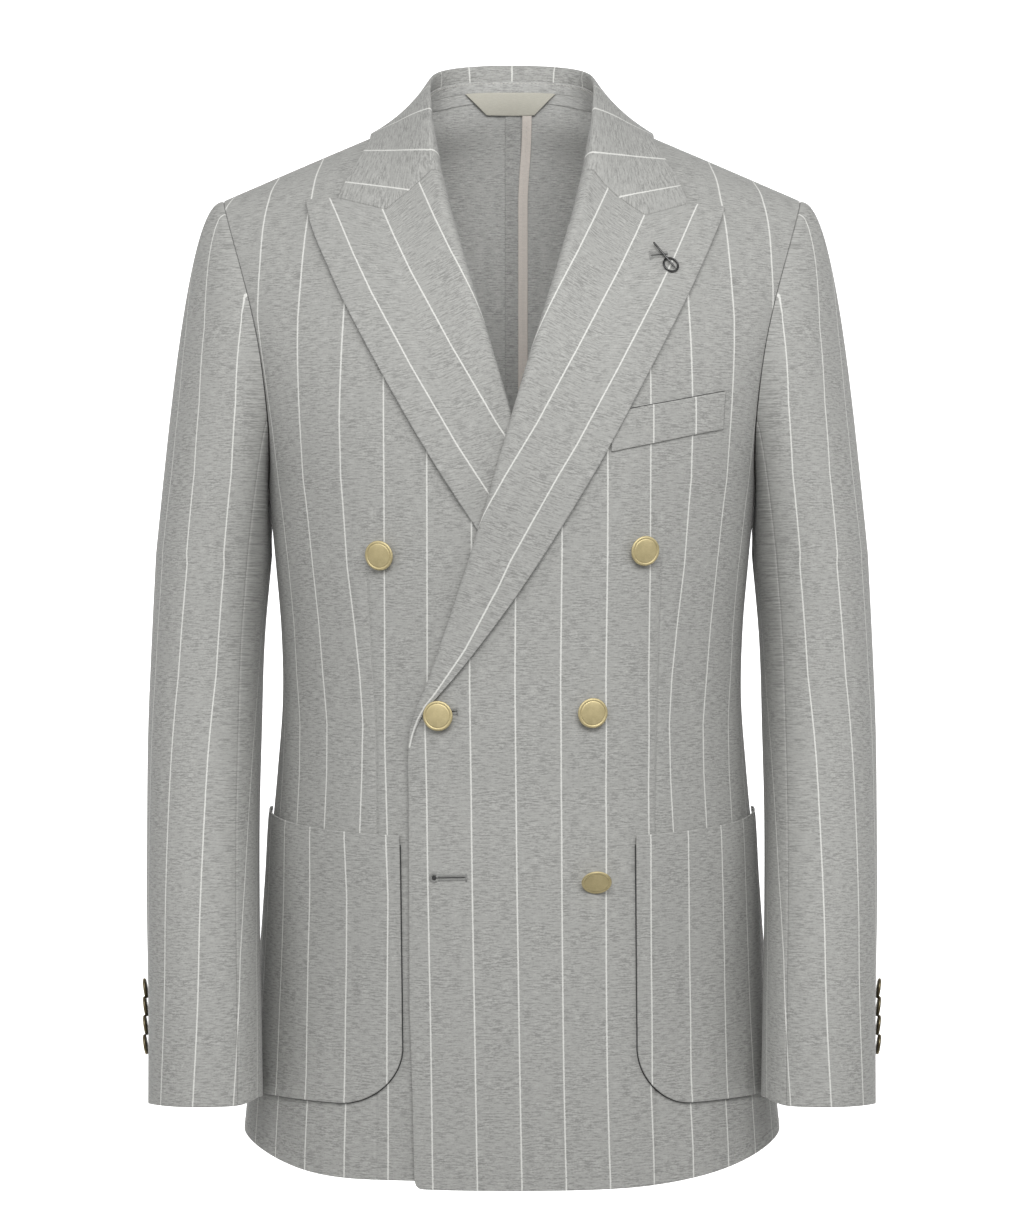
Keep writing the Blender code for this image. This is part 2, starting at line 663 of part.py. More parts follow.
def lapel_grid(side):
    """Grid of a lapel: its return behind the front, round the fold, and out to its edge."""
    apex, normal, across, lift, half = roll_of(side)
    crest = wrap_fold(apex, normal, across, lift, 90)[:, [0, 2]]
    outer = by_length(curve(LAPEL_EDGE, 400), len(apex))
    w = np.linspace(0, 1, COLLAR_COLUMNS + PEAK_COLUMNS + 1)
    places = crest[:, None] + (outer - crest)[:, None] * w[:, None]
    path = gorge_path(crest[-1])
    share = np.linspace(0, 1, len(apex))
    places += (path - places[-1]) * (share**4)[:, None, None]
    distance = half[:, None] + np.linalg.norm(places - crest[:, None], axis=2)
    lifts = lapel_lift(side, places[..., 0], places[..., 1], distance)
    face, _ = laid_on_front(side, places[:, 1:, 0], places[:, 1:, 1], lifts[:, 1:])
    columns = [wrap_fold(apex, normal, across, lift, -90) + across * reach for reach in (RETURN, RETURN / 2)]
    columns += [wrap_fold(apex, normal, across, lift, turn) for turn in (-90, -60, -25, 15, 50, 90)]
    return np.stack(columns + list(face.transpose(1, 0, 2)), axis=1)


def build_lapels():
    for side, word in ((1, "left"), (-1, "right")):
        cloth(f"lapel_{word}", lapel_grid(side), wall=LAPEL_WALL, seams=("top",), mirror=side < 0)


def collar_grid():
    """Grid of half a collar, centre back to front: rows go up the stand and down the fall."""
    count = COLLAR_HALF + 1
    fold = by_length(curve(COLLAR_FOLD, 300), count)

    edge = curve(COLLAR_EDGE_BACK, 60)
    on_back = back_base(edge[:, 0], edge[:, 1]) + COLLAR_LIFT * back_normals(edge[:, 0], edge[:, 1])
    edge = curve(COLLAR_EDGE_FRONT, 60)
    on_front, _ = laid_on_front(-1, edge[:, 0], edge[:, 1], COLLAR_LIFT)
    outer = by_length(np.concatenate([on_back, on_front]), count)

    nape = back_grid()[0][-1, : NECK_COLUMN + 1]
    front, outward = (grid[GORGE_ROW:-1, 0][::-1] for grid in front_grid(-1))
    seam = by_length(np.concatenate([nape + [0, 0, STAND_LIFT], front + outward * STAND_LIFT]), count)

    way = unit((outer - fold) * [1, 1, 0])
    rise, drop = fold - seam, outer - fold
    rows = []
    for share in np.linspace(0, 1, STAND_ROWS + 1)[:-1]:
        low = seam + STAND_HOLD * rise - way * STAND_BULGE
        rows.append(bezier(seam, low, fold - way * FOLD_IN, fold, share))
    for share in np.linspace(0, 1, COLLAR_COLUMNS + 1):
        low = outer - FALL_HOLD * drop + way * FALL_OUT + [0, 0, FALL_UP]
        rows.append(bezier(fold, fold + way * FOLD_OUT, low, outer, share))
    grid = np.stack(rows)

    # Its front end rolls and lies just as the top of the lapel does.
    apex, normal, across, lift, half = (a[-1:] for a in roll_of(-1))
    crest = wrap_fold(apex, normal, across, lift, 90)
    path = gorge_path(crest[0, [0, 2]])[: COLLAR_COLUMNS + 1]
    distance = half + np.linalg.norm(path - path[0], axis=1)
    lifts = lapel_lift(-1, path[:, 0], path[:, 1], distance)
    fall, _ = laid_on_front(-1, path[1:, 0], path[1:, 1], lifts[1:])
    stand = [wrap_fold(apex, normal, across, lift, turn) for turn in (-25, 5, 35, 63)]
    end = np.concatenate([*stand, crest, fall])
    ease = smooth(0.45, 1.0, np.linspace(0, 1, count)) ** 2
    return grid + (end - grid[:, -1])[:, None, :] * ease[None, :, None]


def build_collar():
    half = collar_grid()
    whole = np.concatenate([half[:, :0:-1] * (-1, 1, 1), half], axis=1)
    cloth("collar", whole, wall=COLLAR_WALL, seams=("left", "right"))
    columns = np.arange(COLLAR_HALF - 9, COLLAR_HALF + 10)
    rows = [0.1, 0.6, 1.1]
    normals = on_panel(grid_normals(whole), rows, columns)
    band = on_panel(whole, rows, columns) + unit(normals) * (LAYER + TRIM_WALL)
    cloth("neck_tape", band, wall=TRIM_WALL)


# --- Sleeves -------------------------------------------------------------------------------


def armhole():
    """The armhole seam as a loop of the panels' own corners, from the shoulder down the front."""
    front = front_grid(-1)[0][ROWS_BELOW:, -1][::-1]
    under = side_grid()[0][-1, 1:-1]
    back = back_grid()[0][ROWS_BELOW:, -1]
    return np.concatenate([front, under, back])


def quarters(loop, start_marks):
    """Four stretches of a closed loop between the marks."""
    marks = [*start_marks, len(loop) - 1]
    return [loop[first : last + 1] for first, last in zip(marks, marks[1:])]


def round_loop(stretches, u):
    """Points at u, which goes from 0 to 1 round four stretches, a quarter for each."""
    points = np.zeros((len(u), 3))
    for i, stretch in enumerate(stretches):
        run = np.concatenate([[0], np.cumsum(np.linalg.norm(np.diff(stretch, axis=0), axis=1))])
        here = (u >= i / 4) & (u <= (i + 1) / 4)
        wanted = (u[here] * 4 - i) * run[-1]
        points[here] = np.stack([np.interp(wanted, run, axis) for axis in stretch.T], axis=1)
    return points


def ring_stretches(ring):
    """A level section of a sleeve: outside, front, inside, back and round to the outside."""
    angle = np.linspace(0, 2 * np.pi, 161)
    cos, sin = np.cos(angle), np.sin(angle)
    power = 2 / SLEEVE_FULL
    x = ring.centre_x + ring.half_x * np.sign(cos) * np.abs(cos) ** power
    y = ring.centre_y - ring.half_y * np.sign(sin) * np.abs(sin) ** power
    return quarters(np.stack([x, y, np.full_like(x, ring.z)], axis=1), [0, 40, 80, 120])


def sleeve_surface(u, down, loop):
    """A sleeve: u from 0 at the outside by the front, and down from 0 at the armhole to 2."""
    u = np.mod(u, 1.0)
    marks = [0, int(np.argmin(loop[:, 1])), int(np.argmin(loop[:, 2])), int(np.argmax(loop[:, 1]))]
    start = round_loop(quarters(loop, marks), u)
    rings = [round_loop(ring_stretches(ring), u) for ring in SLEEVE]

    outside = 0.5 + 0.5 * np.cos(2 * np.pi * u)
    start = start + np.stack([UNDERARM_OUT * (1 - outside) ** 2, 0 * u, 0 * u], axis=1)
    bend = CAP_BEND_UNDER + (CAP_BEND - CAP_BEND_UNDER) * outside**0.7
    cap = np.minimum(down, 1)
    sideways = (cap ** (2 * bend))[:, None]
    drop = (cap**2)[:, None]
    share = np.concatenate([sideways, sideways, drop], axis=1)
    above = start + (rings[0] - start) * share
    below = through(rings, np.maximum(down - 1, 0) * (len(SLEEVE) - 1))
    points = np.where((down < 1)[:, None], above, below)
    points[:, 2] -= CUFF_DROP_BACK * smooth(-1, 1, -np.sin(2 * np.pi * u)) * smooth(1.5, 2, down)
    return points


def sleeve_seams(down):
    """Places round the sleeve of its two seams."""
    back = BACK_SEAM_AT_CAP + (BACK_SEAM_AT_CUFF - BACK_SEAM_AT_CAP) * smooth(0.3, 2.0, down)
    front = FRONT_SEAM_AT_CAP + (FRONT_SEAM_AT_CUFF - FRONT_SEAM_AT_CAP) * down / 2
    return back, front


def sleeve_grid(which, loop):
    down = np.concatenate([np.linspace(0, 1, CAP_ROWS + 1), np.linspace(1, 2, ARM_ROWS + 1)[1:]])[::-1]
    back, front = sleeve_seams(down)
    if which == "top":
        first, last, columns = front, back, TOP_COLUMNS
    else:
        first, last, columns = back + 1, front, UNDER_COLUMNS
    u = (first[:, None] + (last - first)[:, None] * np.linspace(0, 1, columns + 1)).ravel()
    level = np.repeat(down, columns + 1)
    points = sleeve_surface(u, level, loop)
    inside = np.clip(level, 0.02, 1.98)
    step = 0.01
    round_it = sleeve_surface(u + step, inside, loop) - sleeve_surface(u - step, inside, loop)
    along = sleeve_surface(u, inside + step, loop) - sleeve_surface(u, inside - step, loop)
    outward = unit(np.cross(round_it, along))
    shape = (len(down), columns + 1, 3)
    return points.reshape(shape), outward.reshape(shape)


# --- Body and sleeves together -------------------------------------------------------------


def sewn(pieces):
    """Pieces that meet share the direction of their walls at the seam."""
    points = np.concatenate([face.reshape(-1, 3) for face, _ in pieces.values()])
    outward = np.concatenate([way.reshape(-1, 3) for _, way in pieces.values()])
    meet = np.linalg.norm(points[:, None] - points[None], axis=2) < 0.05
    alike = outward @ outward.T > 0.2
    shared = unit((meet & alike).astype(float) @ outward)
    made, first = {}, 0
    for name, (face, way) in pieces.items():
        size = way.size // 3
        made[name] = (face, shared[first : first + size].reshape(way.shape))
        first += size
    return made


def build_shell():
    """Every panel but the side one is two solids, so that collision follows its bend."""
    loop = armhole()
    for side, word in ((1, "left"), (-1, "right")):
        panels = {
            "front": (ROWS_BELOW, front_grid(side)),
            # Seen from behind, the columns of a back run the other way.
            "back": (ROWS_BELOW, [grid[:, ::-1] for grid in back_grid()]),
            "top_sleeve": (ARM_ROWS, sleeve_grid("top", loop)),
            "under_sleeve": (ARM_ROWS, sleeve_grid("under", loop)),
        }
        pieces = {"side_panel": side_grid()}
        for name, (row, grids) in panels.items():
            pieces[name] = tuple(grid[: row + 1] for grid in grids)
            pieces[f"{name}_upper"] = tuple(grid[row:] for grid in grids)
        for name, (face, outward) in sewn(pieces).items():
            seams = ["right", "top"]
            if not name.startswith("front"):
                seams.append("left")
            if name.endswith("upper"):
                seams.append("bottom")
            cloth(f"{name}_{word}", face, outward, seams=seams, mirror=side < 0)


# --- Pockets, buttons and trim -------------------------------------------------------------


def pocket_grid(side):
    """Grid of a patch pocket over the front and the start of the side panel."""
    corner = POCKET_FRONT + (OUTER_LINES[1] - POCKET_FRONT) * np.array([0, 0.12, 0.42])
    lines = np.concatenate([corner, OUTER_LINES[1:], [1.1, POCKET_BACK]])
    edge = POCKET_EDGE[side]
    near = np.minimum(lines - POCKET_FRONT, (POCKET_BACK - lines) * 0.8) / edge.corner
    round_off = 1 - np.sqrt(1 - (1 - np.clip(near, 0, 1)) ** 2)
    bottom = POCKET_BOTTOM_Z + POCKET_CORNER_Z * round_off
    share = (lines - POCKET_FRONT) / (POCKET_BACK - POCKET_FRONT)
    rise = np.minimum(share / POCKET_MOUTH_LEVEL, 1) ** 1.5
    mouth = POCKET_MOUTH_FRONT_Z + (POCKET_MOUTH_BACK_Z - POCKET_MOUTH_FRONT_Z) * rise
    up = np.linspace(0, 1, POCKET_ROWS + 1)[:, None]
    z = bottom + (mouth - bottom) * up
    # The columns near the front edge follow it, since it hangs straight.
    width = np.interp(z[:, :1], [level.centre_z for level in FRONT], [level.edge_x for level in FRONT])
    first = np.arcsin((edge.bottom + (edge.mouth - edge.bottom) * up) / width) / (np.pi / 2)
    follow = np.clip((OUTER_LINES[1] - lines) / (OUTER_LINES[1] - POCKET_FRONT), 0, 1)
    point, normal = round_body(side, lines + (first - POCKET_FRONT) * follow, z)
    flare = POCKET_FLARE * smooth(0.75, 1.0, up) * (0.3 + 0.7 * smooth(0.55, 0.8, share))
    return point + normal * (POCKET_LIFT + flare)[..., None]


def build_pockets():
    for side, word in ((1, "left"), (-1, "right")):
        cloth(f"pocket_{word}", pocket_grid(side), mirror=side < 0)

    lines = np.array(WELT_LINES)
    x = CHEST_HALF_WIDTH * np.sin(lines * np.pi / 2)
    low = WELT_Z + (x - WELT_X) * WELT_SLOPE
    z = low + WELT_HEIGHT * np.array([[0.0], [0.5], [1.0]])
    point, normal = round_body(1, lines, z)
    cloth("chest_welt", point + normal * (LAYER + TRIM_WALL), wall=TRIM_WALL)


def build_buttons():
    for button in BUTTONS:
        # A button that hangs tips until its lower rim meets the cloth.
        clear = BUTTON_PROFILE[4][0] * math.sin(math.radians(button.tilt)) * RIM_SHARE
        point, normal = laid_on_front(button.side, [button.x], [button.z], clear)
        place = facing(point[0] * (button.side, 1, 1), normal[0] * (button.side, 1, 1), button.tilt)
        turned(button.name, BUTTON_PROFILE, "matt_brass", place, 16)

    out = CUFF_PROFILE[3][0] * math.sin(math.radians(CUFF_BUTTON_TILT)) - CUFF_PROFILE[4][1] + LAYER
    loop = armhole()
    for side, word in ((1, "left"), (-1, "right")):
        for i in range(CUFF_BUTTONS):
            z = CUFF_BUTTON_FIRST_Z - CUFF_BUTTON_STEP * i
            down = 2 - (z - SLEEVE[-1].z) / (SLEEVE[0].z - SLEEVE[-1].z)
            point = sleeve_surface(np.array([0.0]), np.array([down]), loop)[0] + [out, 0, 0]
            place = facing(point * (side, 1, 1), (side, 0, 0), CUFF_BUTTON_TILT)
            turned(f"cuff_button_{word}_{i + 1}", CUFF_PROFILE, "dark_bronze", place, 12)


def build_pin():
    """A plain ring that hangs on a plain straight pin, on the left lapel."""
    lift = LAPEL_LIFT + PIN_LIFT
    point, normal = laid_on_front(1, [PIN_RING_PLACE.x], [PIN_RING_PLACE.z], lift)
    bpy.ops.mesh.primitive_torus_add(
        major_radius=PIN_RING * MM, minor_radius=PIN_WIRE * MM, major_segments=20, minor_segments=6
    )
    adopt(bpy.context.object, "pin_ring", "dark_steel", facing(point[0], normal[0]))

    lift += 2 * PIN_WIRE + LAYER
    ends, _ = laid_on_front(1, [p.x for p in PIN_STICK], [p.z for p in PIN_STICK], lift)
    way = Vector(ends[1] - ends[0])
    bpy.ops.mesh.primitive_cylinder_add(vertices=8, radius=PIN_WIRE * MM, depth=way.length * MM)
    turn = way.to_track_quat("Z", "Y").to_matrix().to_4x4()
    place = Matrix.Translation(Vector(ends.mean(axis=0)) * MM) @ turn
    adopt(bpy.context.object, "pin_stick", "dark_steel", place)


def build_inside():
    """The label and the binding of the centre-back seam, both inside the back."""
    whole, inwards = (
        np.concatenate([grid[:, :0:-1] * (-1, 1, 1), grid], axis=1) * sign
        for grid, sign in zip(back_grid(), (1, -1))
    )
    centre = len(BACK_LINES) - 1
    depth = CLOTH + LAYER + TRIM_WALL
    label_depth = depth + LAYER

    line = BACK_LINES[1] * SHOULDER_X
    low, high = (
        (level - ARMHOLE) / (TOP - ARMHOLE) * ROWS_ABOVE + ROWS_BELOW for level in (LABEL_LOW, LABEL_HIGH)
    )
    rows = [low, *range(math.ceil(low), math.ceil(high)), high]
    inner = []
    for row in rows:
        half = LABEL_BOTTOM + (LABEL_TOP - LABEL_BOTTOM) * (row - low) / (high - low)
        columns = centre + np.array([-half, -min(half * 0.98, line), 0, min(half * 0.98, line), half]) / line
        way = on_panel(inwards, [row], columns)
        inner.append((on_panel(whole, [row], columns) + unit(way) * label_depth)[0])
    cloth("label", np.stack(inner), wall=TRIM_WALL, finish="label_satin")

    rows = [0.3, *range(1, math.floor(low) - 1), low - 0.6]
    columns = centre + np.array([SEAM_TAPE_X0, SEAM_TAPE_X1]) / line
    way = unit(on_panel(inwards, rows, columns))
    cloth("seam_tape", on_panel(whole, rows, columns) + way * depth, wall=TRIM_WALL, finish="seam_binding")


def main():
    for thing in list(bpy.data.objects):
        bpy.data.objects.remove(thing)
    bpy.context.scene.collection.children.link(garment)
    build_shell()
    build_lapels()
    build_collar()
    build_pockets()
    build_buttons()
    build_pin()
    build_inside()


main()
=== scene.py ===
"""The looks of a double-breasted blazer: striped jersey, tailored edges, brass buttons.

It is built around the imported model, whose nodes give the frame. Tables and sizes are in
millimetres and the meshes in metres, +Z up, the front towards -Y. The shapes are worked
out on the wearer's left, at +X, and mirrored for the right.
"""

import math
from collections import namedtuple

import bpy
import numpy as np
from mathutils import Matrix, Vector


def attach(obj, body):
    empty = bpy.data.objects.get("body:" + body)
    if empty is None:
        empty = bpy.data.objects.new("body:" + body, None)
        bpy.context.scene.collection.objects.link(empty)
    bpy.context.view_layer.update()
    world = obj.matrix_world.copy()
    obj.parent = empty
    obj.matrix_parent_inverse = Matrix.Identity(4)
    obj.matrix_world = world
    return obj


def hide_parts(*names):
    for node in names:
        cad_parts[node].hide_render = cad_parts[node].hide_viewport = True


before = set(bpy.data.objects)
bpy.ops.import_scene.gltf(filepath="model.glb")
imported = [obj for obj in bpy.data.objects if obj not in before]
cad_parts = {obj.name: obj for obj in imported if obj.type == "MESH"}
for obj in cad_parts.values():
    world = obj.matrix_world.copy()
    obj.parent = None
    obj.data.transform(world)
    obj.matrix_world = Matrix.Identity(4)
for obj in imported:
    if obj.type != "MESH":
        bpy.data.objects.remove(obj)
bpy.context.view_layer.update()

# --- Studio --------------------------------------------------------------------------------
# A pale floor that turns up into a wall far behind, a broad light high in front, weaker ones
# at both sides, a small one for the inside of the neck, and the camera.

CAMERA_AT = (0.0, -2.6, -0.342)
LENS = 108.8
FLOOR_Z, WALL_Y, FLOOR_FRONT, BEND = -1.25, 4.6, -0.3, 1.6
WALL_TOP, HALF_FLOOR = 4.0, 6.0
DAYLIGHT = 0.33
PALE, PALE_GLOW = (0.93, 0.93, 0.93), 0.35

scene = bpy.context.scene
scene.view_settings.view_transform = "Standard"


def add(name, data):
    """A new object of the scene."""
    made = bpy.data.objects.new(name, data)
    scene.collection.objects.link(made)
    return made


camera = bpy.data.cameras.new("Camera")
camera.lens = LENS
scene.camera = add("Camera", camera)
scene.camera.location = CAMERA_AT
scene.camera.rotation_euler = (math.pi / 2, 0, 0)

world = bpy.data.worlds.new("Soft daylight")
scene.world = world
world.use_nodes = True
daylight = world.node_tree.nodes["Background"]
daylight.inputs["Color"].default_value = (1, 1, 1, 1)
daylight.inputs["Strength"].default_value = DAYLIGHT


def softbox(name, place, aim, width, height, watts):
    light = bpy.data.lights.new(name, "AREA")
    light.shape = "RECTANGLE"
    light.size, light.size_y = width, height
    light.energy = watts
    lamp = add(name, light)
    lamp.location = place
    lamp.rotation_euler = (Vector(aim) - Vector(place)).to_track_quat("-Z", "Y").to_euler()
    lamp.visible_camera = False


softbox("Key", (0.2, -1.8, 0.75), (0, 0, -0.2), 1.5, 0.9, 34)
softbox("Fill", (-1.4, -2.8, 0.3), (0, 0, -0.35), 1.6, 1.6, 8)
softbox("Left side", (-1.8, -1.2, 0.4), (0, 0, -0.3), 1.0, 1.4, 8.5)
softbox("Right side", (1.8, -1.2, 0.4), (0, 0, -0.3), 1.0, 1.4, 8.5)
softbox("Backdrop", (0, 1.6, 1.7), (0, 4.6, -0.4), 3.5, 0.8, 110)
softbox("Neck", (0, 0.0, -0.12), (0, 0.12, -0.07), 0.06, 0.05, 0.017)

sweep = [(FLOOR_FRONT, FLOOR_Z)]
sweep += [
    (WALL_Y - BEND + BEND * math.sin(a), FLOOR_Z + BEND - BEND * math.cos(a))
    for a in np.linspace(0, math.pi / 2, 13)
]
sweep.append((WALL_Y, WALL_TOP))


def build(name, verts, faces, *materials):
    """A mesh of these corners and faces, shaded smooth, as an object of the scene."""
    mesh = bpy.data.meshes.new(name)
    mesh.from_pydata(verts, [], faces)
    mesh.polygons.foreach_set("use_smooth", [True] * len(mesh.polygons))
    for material in materials:
        mesh.materials.append(material)
    return add(name, mesh)


paint = bpy.data.materials.new("pale_paint")
paint.use_nodes = True
coat = paint.node_tree.nodes["Principled BSDF"]
coat.inputs["Base Color"].default_value = (*PALE, 1)
coat.inputs["Roughness"].default_value = 0.9
coat.inputs["Emission Color"].default_value = (1, 1, 1, 1)
coat.inputs["Emission Strength"].default_value = PALE_GLOW
corners = [(x, y, z) for y, z in sweep for x in (-HALF_FLOOR, HALF_FLOOR)]
strips = [(2 * i, 2 * i + 1, 2 * i + 3, 2 * i + 2) for i in range(len(sweep) - 1)]
build("floor", corners, strips, paint)

# --- Fronts --------------------------------------------------------------------------------
# Two fronts of one layer of jersey, each with a dart from under the top button down into
# the pocket. The edges are turned and pressed; the left front laps over the right one.

# The cloth of the whole jacket is a double-face cotton jersey in mid-grey melange: short
# darker and paler slubs run across the wales, and an off-white pinstripe runs along them
# every 30 mm. Its back is plain.
STRIPE_PITCH, STRIPE_WIDTH = 30.0, 0.98
STRIPE_FADE = 0.25  # over which each side of a stripe runs out
GREY, STRIPE_WHITE, BACK_GREY = (0.355, 0.355, 0.340), (0.68, 0.68, 0.65), (0.43, 0.43, 0.415)
DARKER, PALER = 0.5, 1.46  # slubs against the ground


class Field:
    """A value that varies over a surface: expressions on it add their Math nodes."""

    def __init__(self, finish, socket):
        self.finish, self.socket = finish, socket

    def _math(self, operation, *values):
        return self.finish.node("ShaderNodeMath", {"operation": operation}, dict(enumerate(values)))

    def __add__(self, other):
        return self._math("ADD", self, other)

    def __sub__(self, other):
        return self._math("SUBTRACT", self, other)

    def __rsub__(self, other):
        return self._math("SUBTRACT", other, self)

    def __mul__(self, other):
        return self._math("MULTIPLY", self, other)

    def __truediv__(self, other):
        return self._math("DIVIDE", self, other)

    __radd__, __rmul__ = __add__, __mul__

    def far_from(self, value):
        return self._math("ABSOLUTE", self._math("SUBTRACT", self, value))

    def fraction(self):
        return self._math("FRACT", self)

    def step(self, low, high):
        """0 below low and 1 above high, smooth between."""
        settings = {"interpolation_type": "SMOOTHSTEP"}
        values = {"Value": self, "From Min": low, "From Max": high}
        return self.finish.node("ShaderNodeMapRange", settings, values)


class Finish:
    """A material under construction."""

    def __init__(self, name):
        self.material = bpy.data.materials.new(name)
        self.material.use_nodes = True
        self.tree = self.material.node_tree
        self.shader = self.tree.nodes["Principled BSDF"]

    def node(self, kind, settings, values, output=0):
        """One node: its settings first, then a value or a link for each of its sockets."""
        made = self.tree.nodes.new(kind)
        for name, value in settings.items():
            setattr(made, name, value)
        for name, value in values.items():
            if isinstance(value, Field):
                self.tree.links.new(value.socket, made.inputs[name])
            else:
                made.inputs[name].default_value = value
        return Field(self, made.outputs[output])

    def constant(self, **sockets):
        for name, value in sockets.items():
            self.shader.inputs[name.replace("_", " ")].default_value = value

    def feed(self, name, field):
        self.tree.links.new(field.socket, self.shader.inputs[name])

    def grain(self, height, strength, distance):
        """A height that tilts the normal, with this much depth in metres."""
        values = {"Strength": strength, "Distance": distance, "Height": height}
        self.feed("Normal", self.node("ShaderNodeBump", {}, values))

    def place(self, across, along):
        """The weave coordinates, in metres across and along the stripes, times these."""
        weave = self.node("ShaderNodeUVMap", {"uv_map": "weave"}, {})
        values = {0: weave, 1: (across, along, 1)}
        return self.node("ShaderNodeVectorMath", {"operation": "MULTIPLY"}, values)

    def noise(self, across, along, detail=2.0, roughness=0.5, seed=0.0):
        """Fractal noise on the weave, with this many cells a metre across and along."""
        values = {0: self.place(across, along), 1: (seed, seed * 1.7, seed)}
        moved = self.node("ShaderNodeVectorMath", {"operation": "ADD"}, values)
        settings = {"noise_dimensions": "2D", "normalize": True}
        values = {"Vector": moved, "Scale": 1.0, "Detail": detail, "Roughness": roughness}
        return self.node("ShaderNodeTexNoise", settings, values)

    def mix(self, share, first, second):
        """Colours first and second mixed by a share of the second."""
        values = {"Factor": share, 6: first, 7: second}
        return self.node("ShaderNodeMix", {"data_type": "RGBA"}, values, output=2)


def rgb(colour):
    return (*colour, 1.0)


def jersey(name, grey, striped):
    """Melange jersey. The slubs lie across the wales; stripes run along them."""
    knit = Finish(name)
    fibre = knit.noise(560, 1450, detail=3.0, roughness=0.65)
    slub = knit.noise(150, 1000, detail=3.0, roughness=0.6, seed=3.7)
    speckle = knit.noise(800, 900, detail=2.0, roughness=0.6, seed=21.3)
    cloud = knit.noise(42, 75, detail=4.0, roughness=0.6, seed=9.1)
    dark = (slub * 0.6 + fibre * 0.3 + speckle * 0.1 + (cloud - 0.5) * 0.2).step(0.44, 0.68)
    pale = (1 - slub * 0.5 - fibre * 0.3 - speckle * 0.2 + (cloud - 0.5) * 0.15).step(0.48, 0.74)
    colour = knit.mix(dark * 0.66, rgb(grey), rgb(tuple(c * DARKER for c in grey)))
    colour = knit.mix(pale * 0.62, colour, rgb(tuple(min(c * PALER, 1) for c in grey)))
    height = fibre * 0.6 + slub * 0.4
    if striped:
        weave = knit.node("ShaderNodeUVMap", {"uv_map": "weave"}, {})
        across = knit.node("ShaderNodeSeparateXYZ", {}, {0: weave})
        frayed = across * (1000 / STRIPE_PITCH) + (knit.noise(900, 900, seed=5.3) - 0.5) * 0.022
        beside = (frayed + 0.5).fraction().far_from(0.5) * STRIPE_PITCH
        stripe = 1 - beside.step(STRIPE_WIDTH / 2 - STRIPE_FADE, STRIPE_WIDTH / 2 + STRIPE_FADE)
        worn = knit.noise(1500, 520, detail=2.0, seed=12.9).step(0.15, 0.55)
        stripe = stripe * (worn * 0.3 + 0.66)
        colour = knit.mix(stripe, colour, rgb(STRIPE_WHITE))
        height = height + stripe * 0.25
    knit.feed("Base Color", colour)
    knit.constant(Roughness=0.88, Sheen_Weight=0.12, Sheen_Roughness=0.5, Specular_IOR_Level=0.22)
    knit.grain(height, 0.55, 0.0005)
    return knit.material


STRIPED = jersey("striped_jersey", GREY, True)
PLAIN = jersey("jersey_back", BACK_GREY, False)

MM = 0.001
CLOTH = 1.4  # a double-face jersey
LAPEL_WALL = 1.6
SHOULDER_X = 202.0  # centre line to the top of the armhole
SHOULDER_Y = 6.0
SHOULDER_Z = -52.0
NECK_X = 67.0  # centre line to the neck end of the shoulder seam
NECK_Z = 5.8
NAPE_Y, NAPE_Z = 73.0, 31.0  # the collar seam at the centre back
BREAK_Z = -400.0  # where the lapel starts to roll
TAIL_Z = -431.0  # where it has run out into the front edge
GORGE_Z = -34.0  # where the roll line meets the collar
UNDER_HEM_RISE = 5.0  # the lower front stops short of the upper one
TRIALS = 30  # halvings when a place is searched for

# One row for each level of a half front or half back, from the hem up. The curve of a level
# runs from the centre line to the panel's edge. 'full' and 'turn' set how square it is, and
# 'sweep' how late it rises or falls towards the edge.
Level = namedtuple("Level", "centre_y centre_z edge_x edge_y edge_z full turn sweep")
FRONT = [
    Level(-140, -723.5, 187.0, 2, -700, 2.25, 2.25, 4.0),
    Level(-139, -671.0, 182.5, 2, -655, 2.20, 2.20, 4.0),
    Level(-137, -618.0, 176.5, 2, -608, 2.15, 2.15, 4.0),
    Level(-134, -562.0, 172.5, 2, -557, 2.15, 2.15, 4.0),
    Level(-131, -505.0, 168.5, 1, -503, 2.20, 2.20, 4.0),
    Level(-128, -450.0, 163.6, 0, -450, 2.25, 2.25, 4.0),
    Level(-127, -400.0, 160.0, 0, -400, 2.30, 2.30, 4.0),
    Level(-129, -352.0, 161.0, -1, -352, 2.30, 2.30, 4.0),
    Level(-133, -306.0, 165.0, -2, -304, 2.30, 2.30, 4.0),
    Level(-136, -264.0, 169.0, -5, -258, 2.30, 2.20, 4.0),
    Level(-136, -236.0, 166.8, -36, -237, 2.30, 1.80, 3.0),
    Level(-134, -204.0, 167.0, -56, -208, 2.30, 1.50, 2.5),
    Level(-128, -165.0, 171.5, -62, -168, 2.20, 1.30, 2.0),
    Level(-117, -126.0, 177.5, -56, -138, 2.10, 1.15, 1.7),
    Level(-99, -86.0, 185.5, -44, -108, 2.00, 1.05, 1.3),
    Level(-70, -42.0, 194.0, -26, -80, 2.00, 1.00, 1.1),
    Level(-34, 2.5, 200.0, -8, -60, 2.00, 1.00, 1.0),
    Level(SHOULDER_Y, 35.0, SHOULDER_X, SHOULDER_Y, SHOULDER_Z, 2.00, 1.00, 1.0),
]
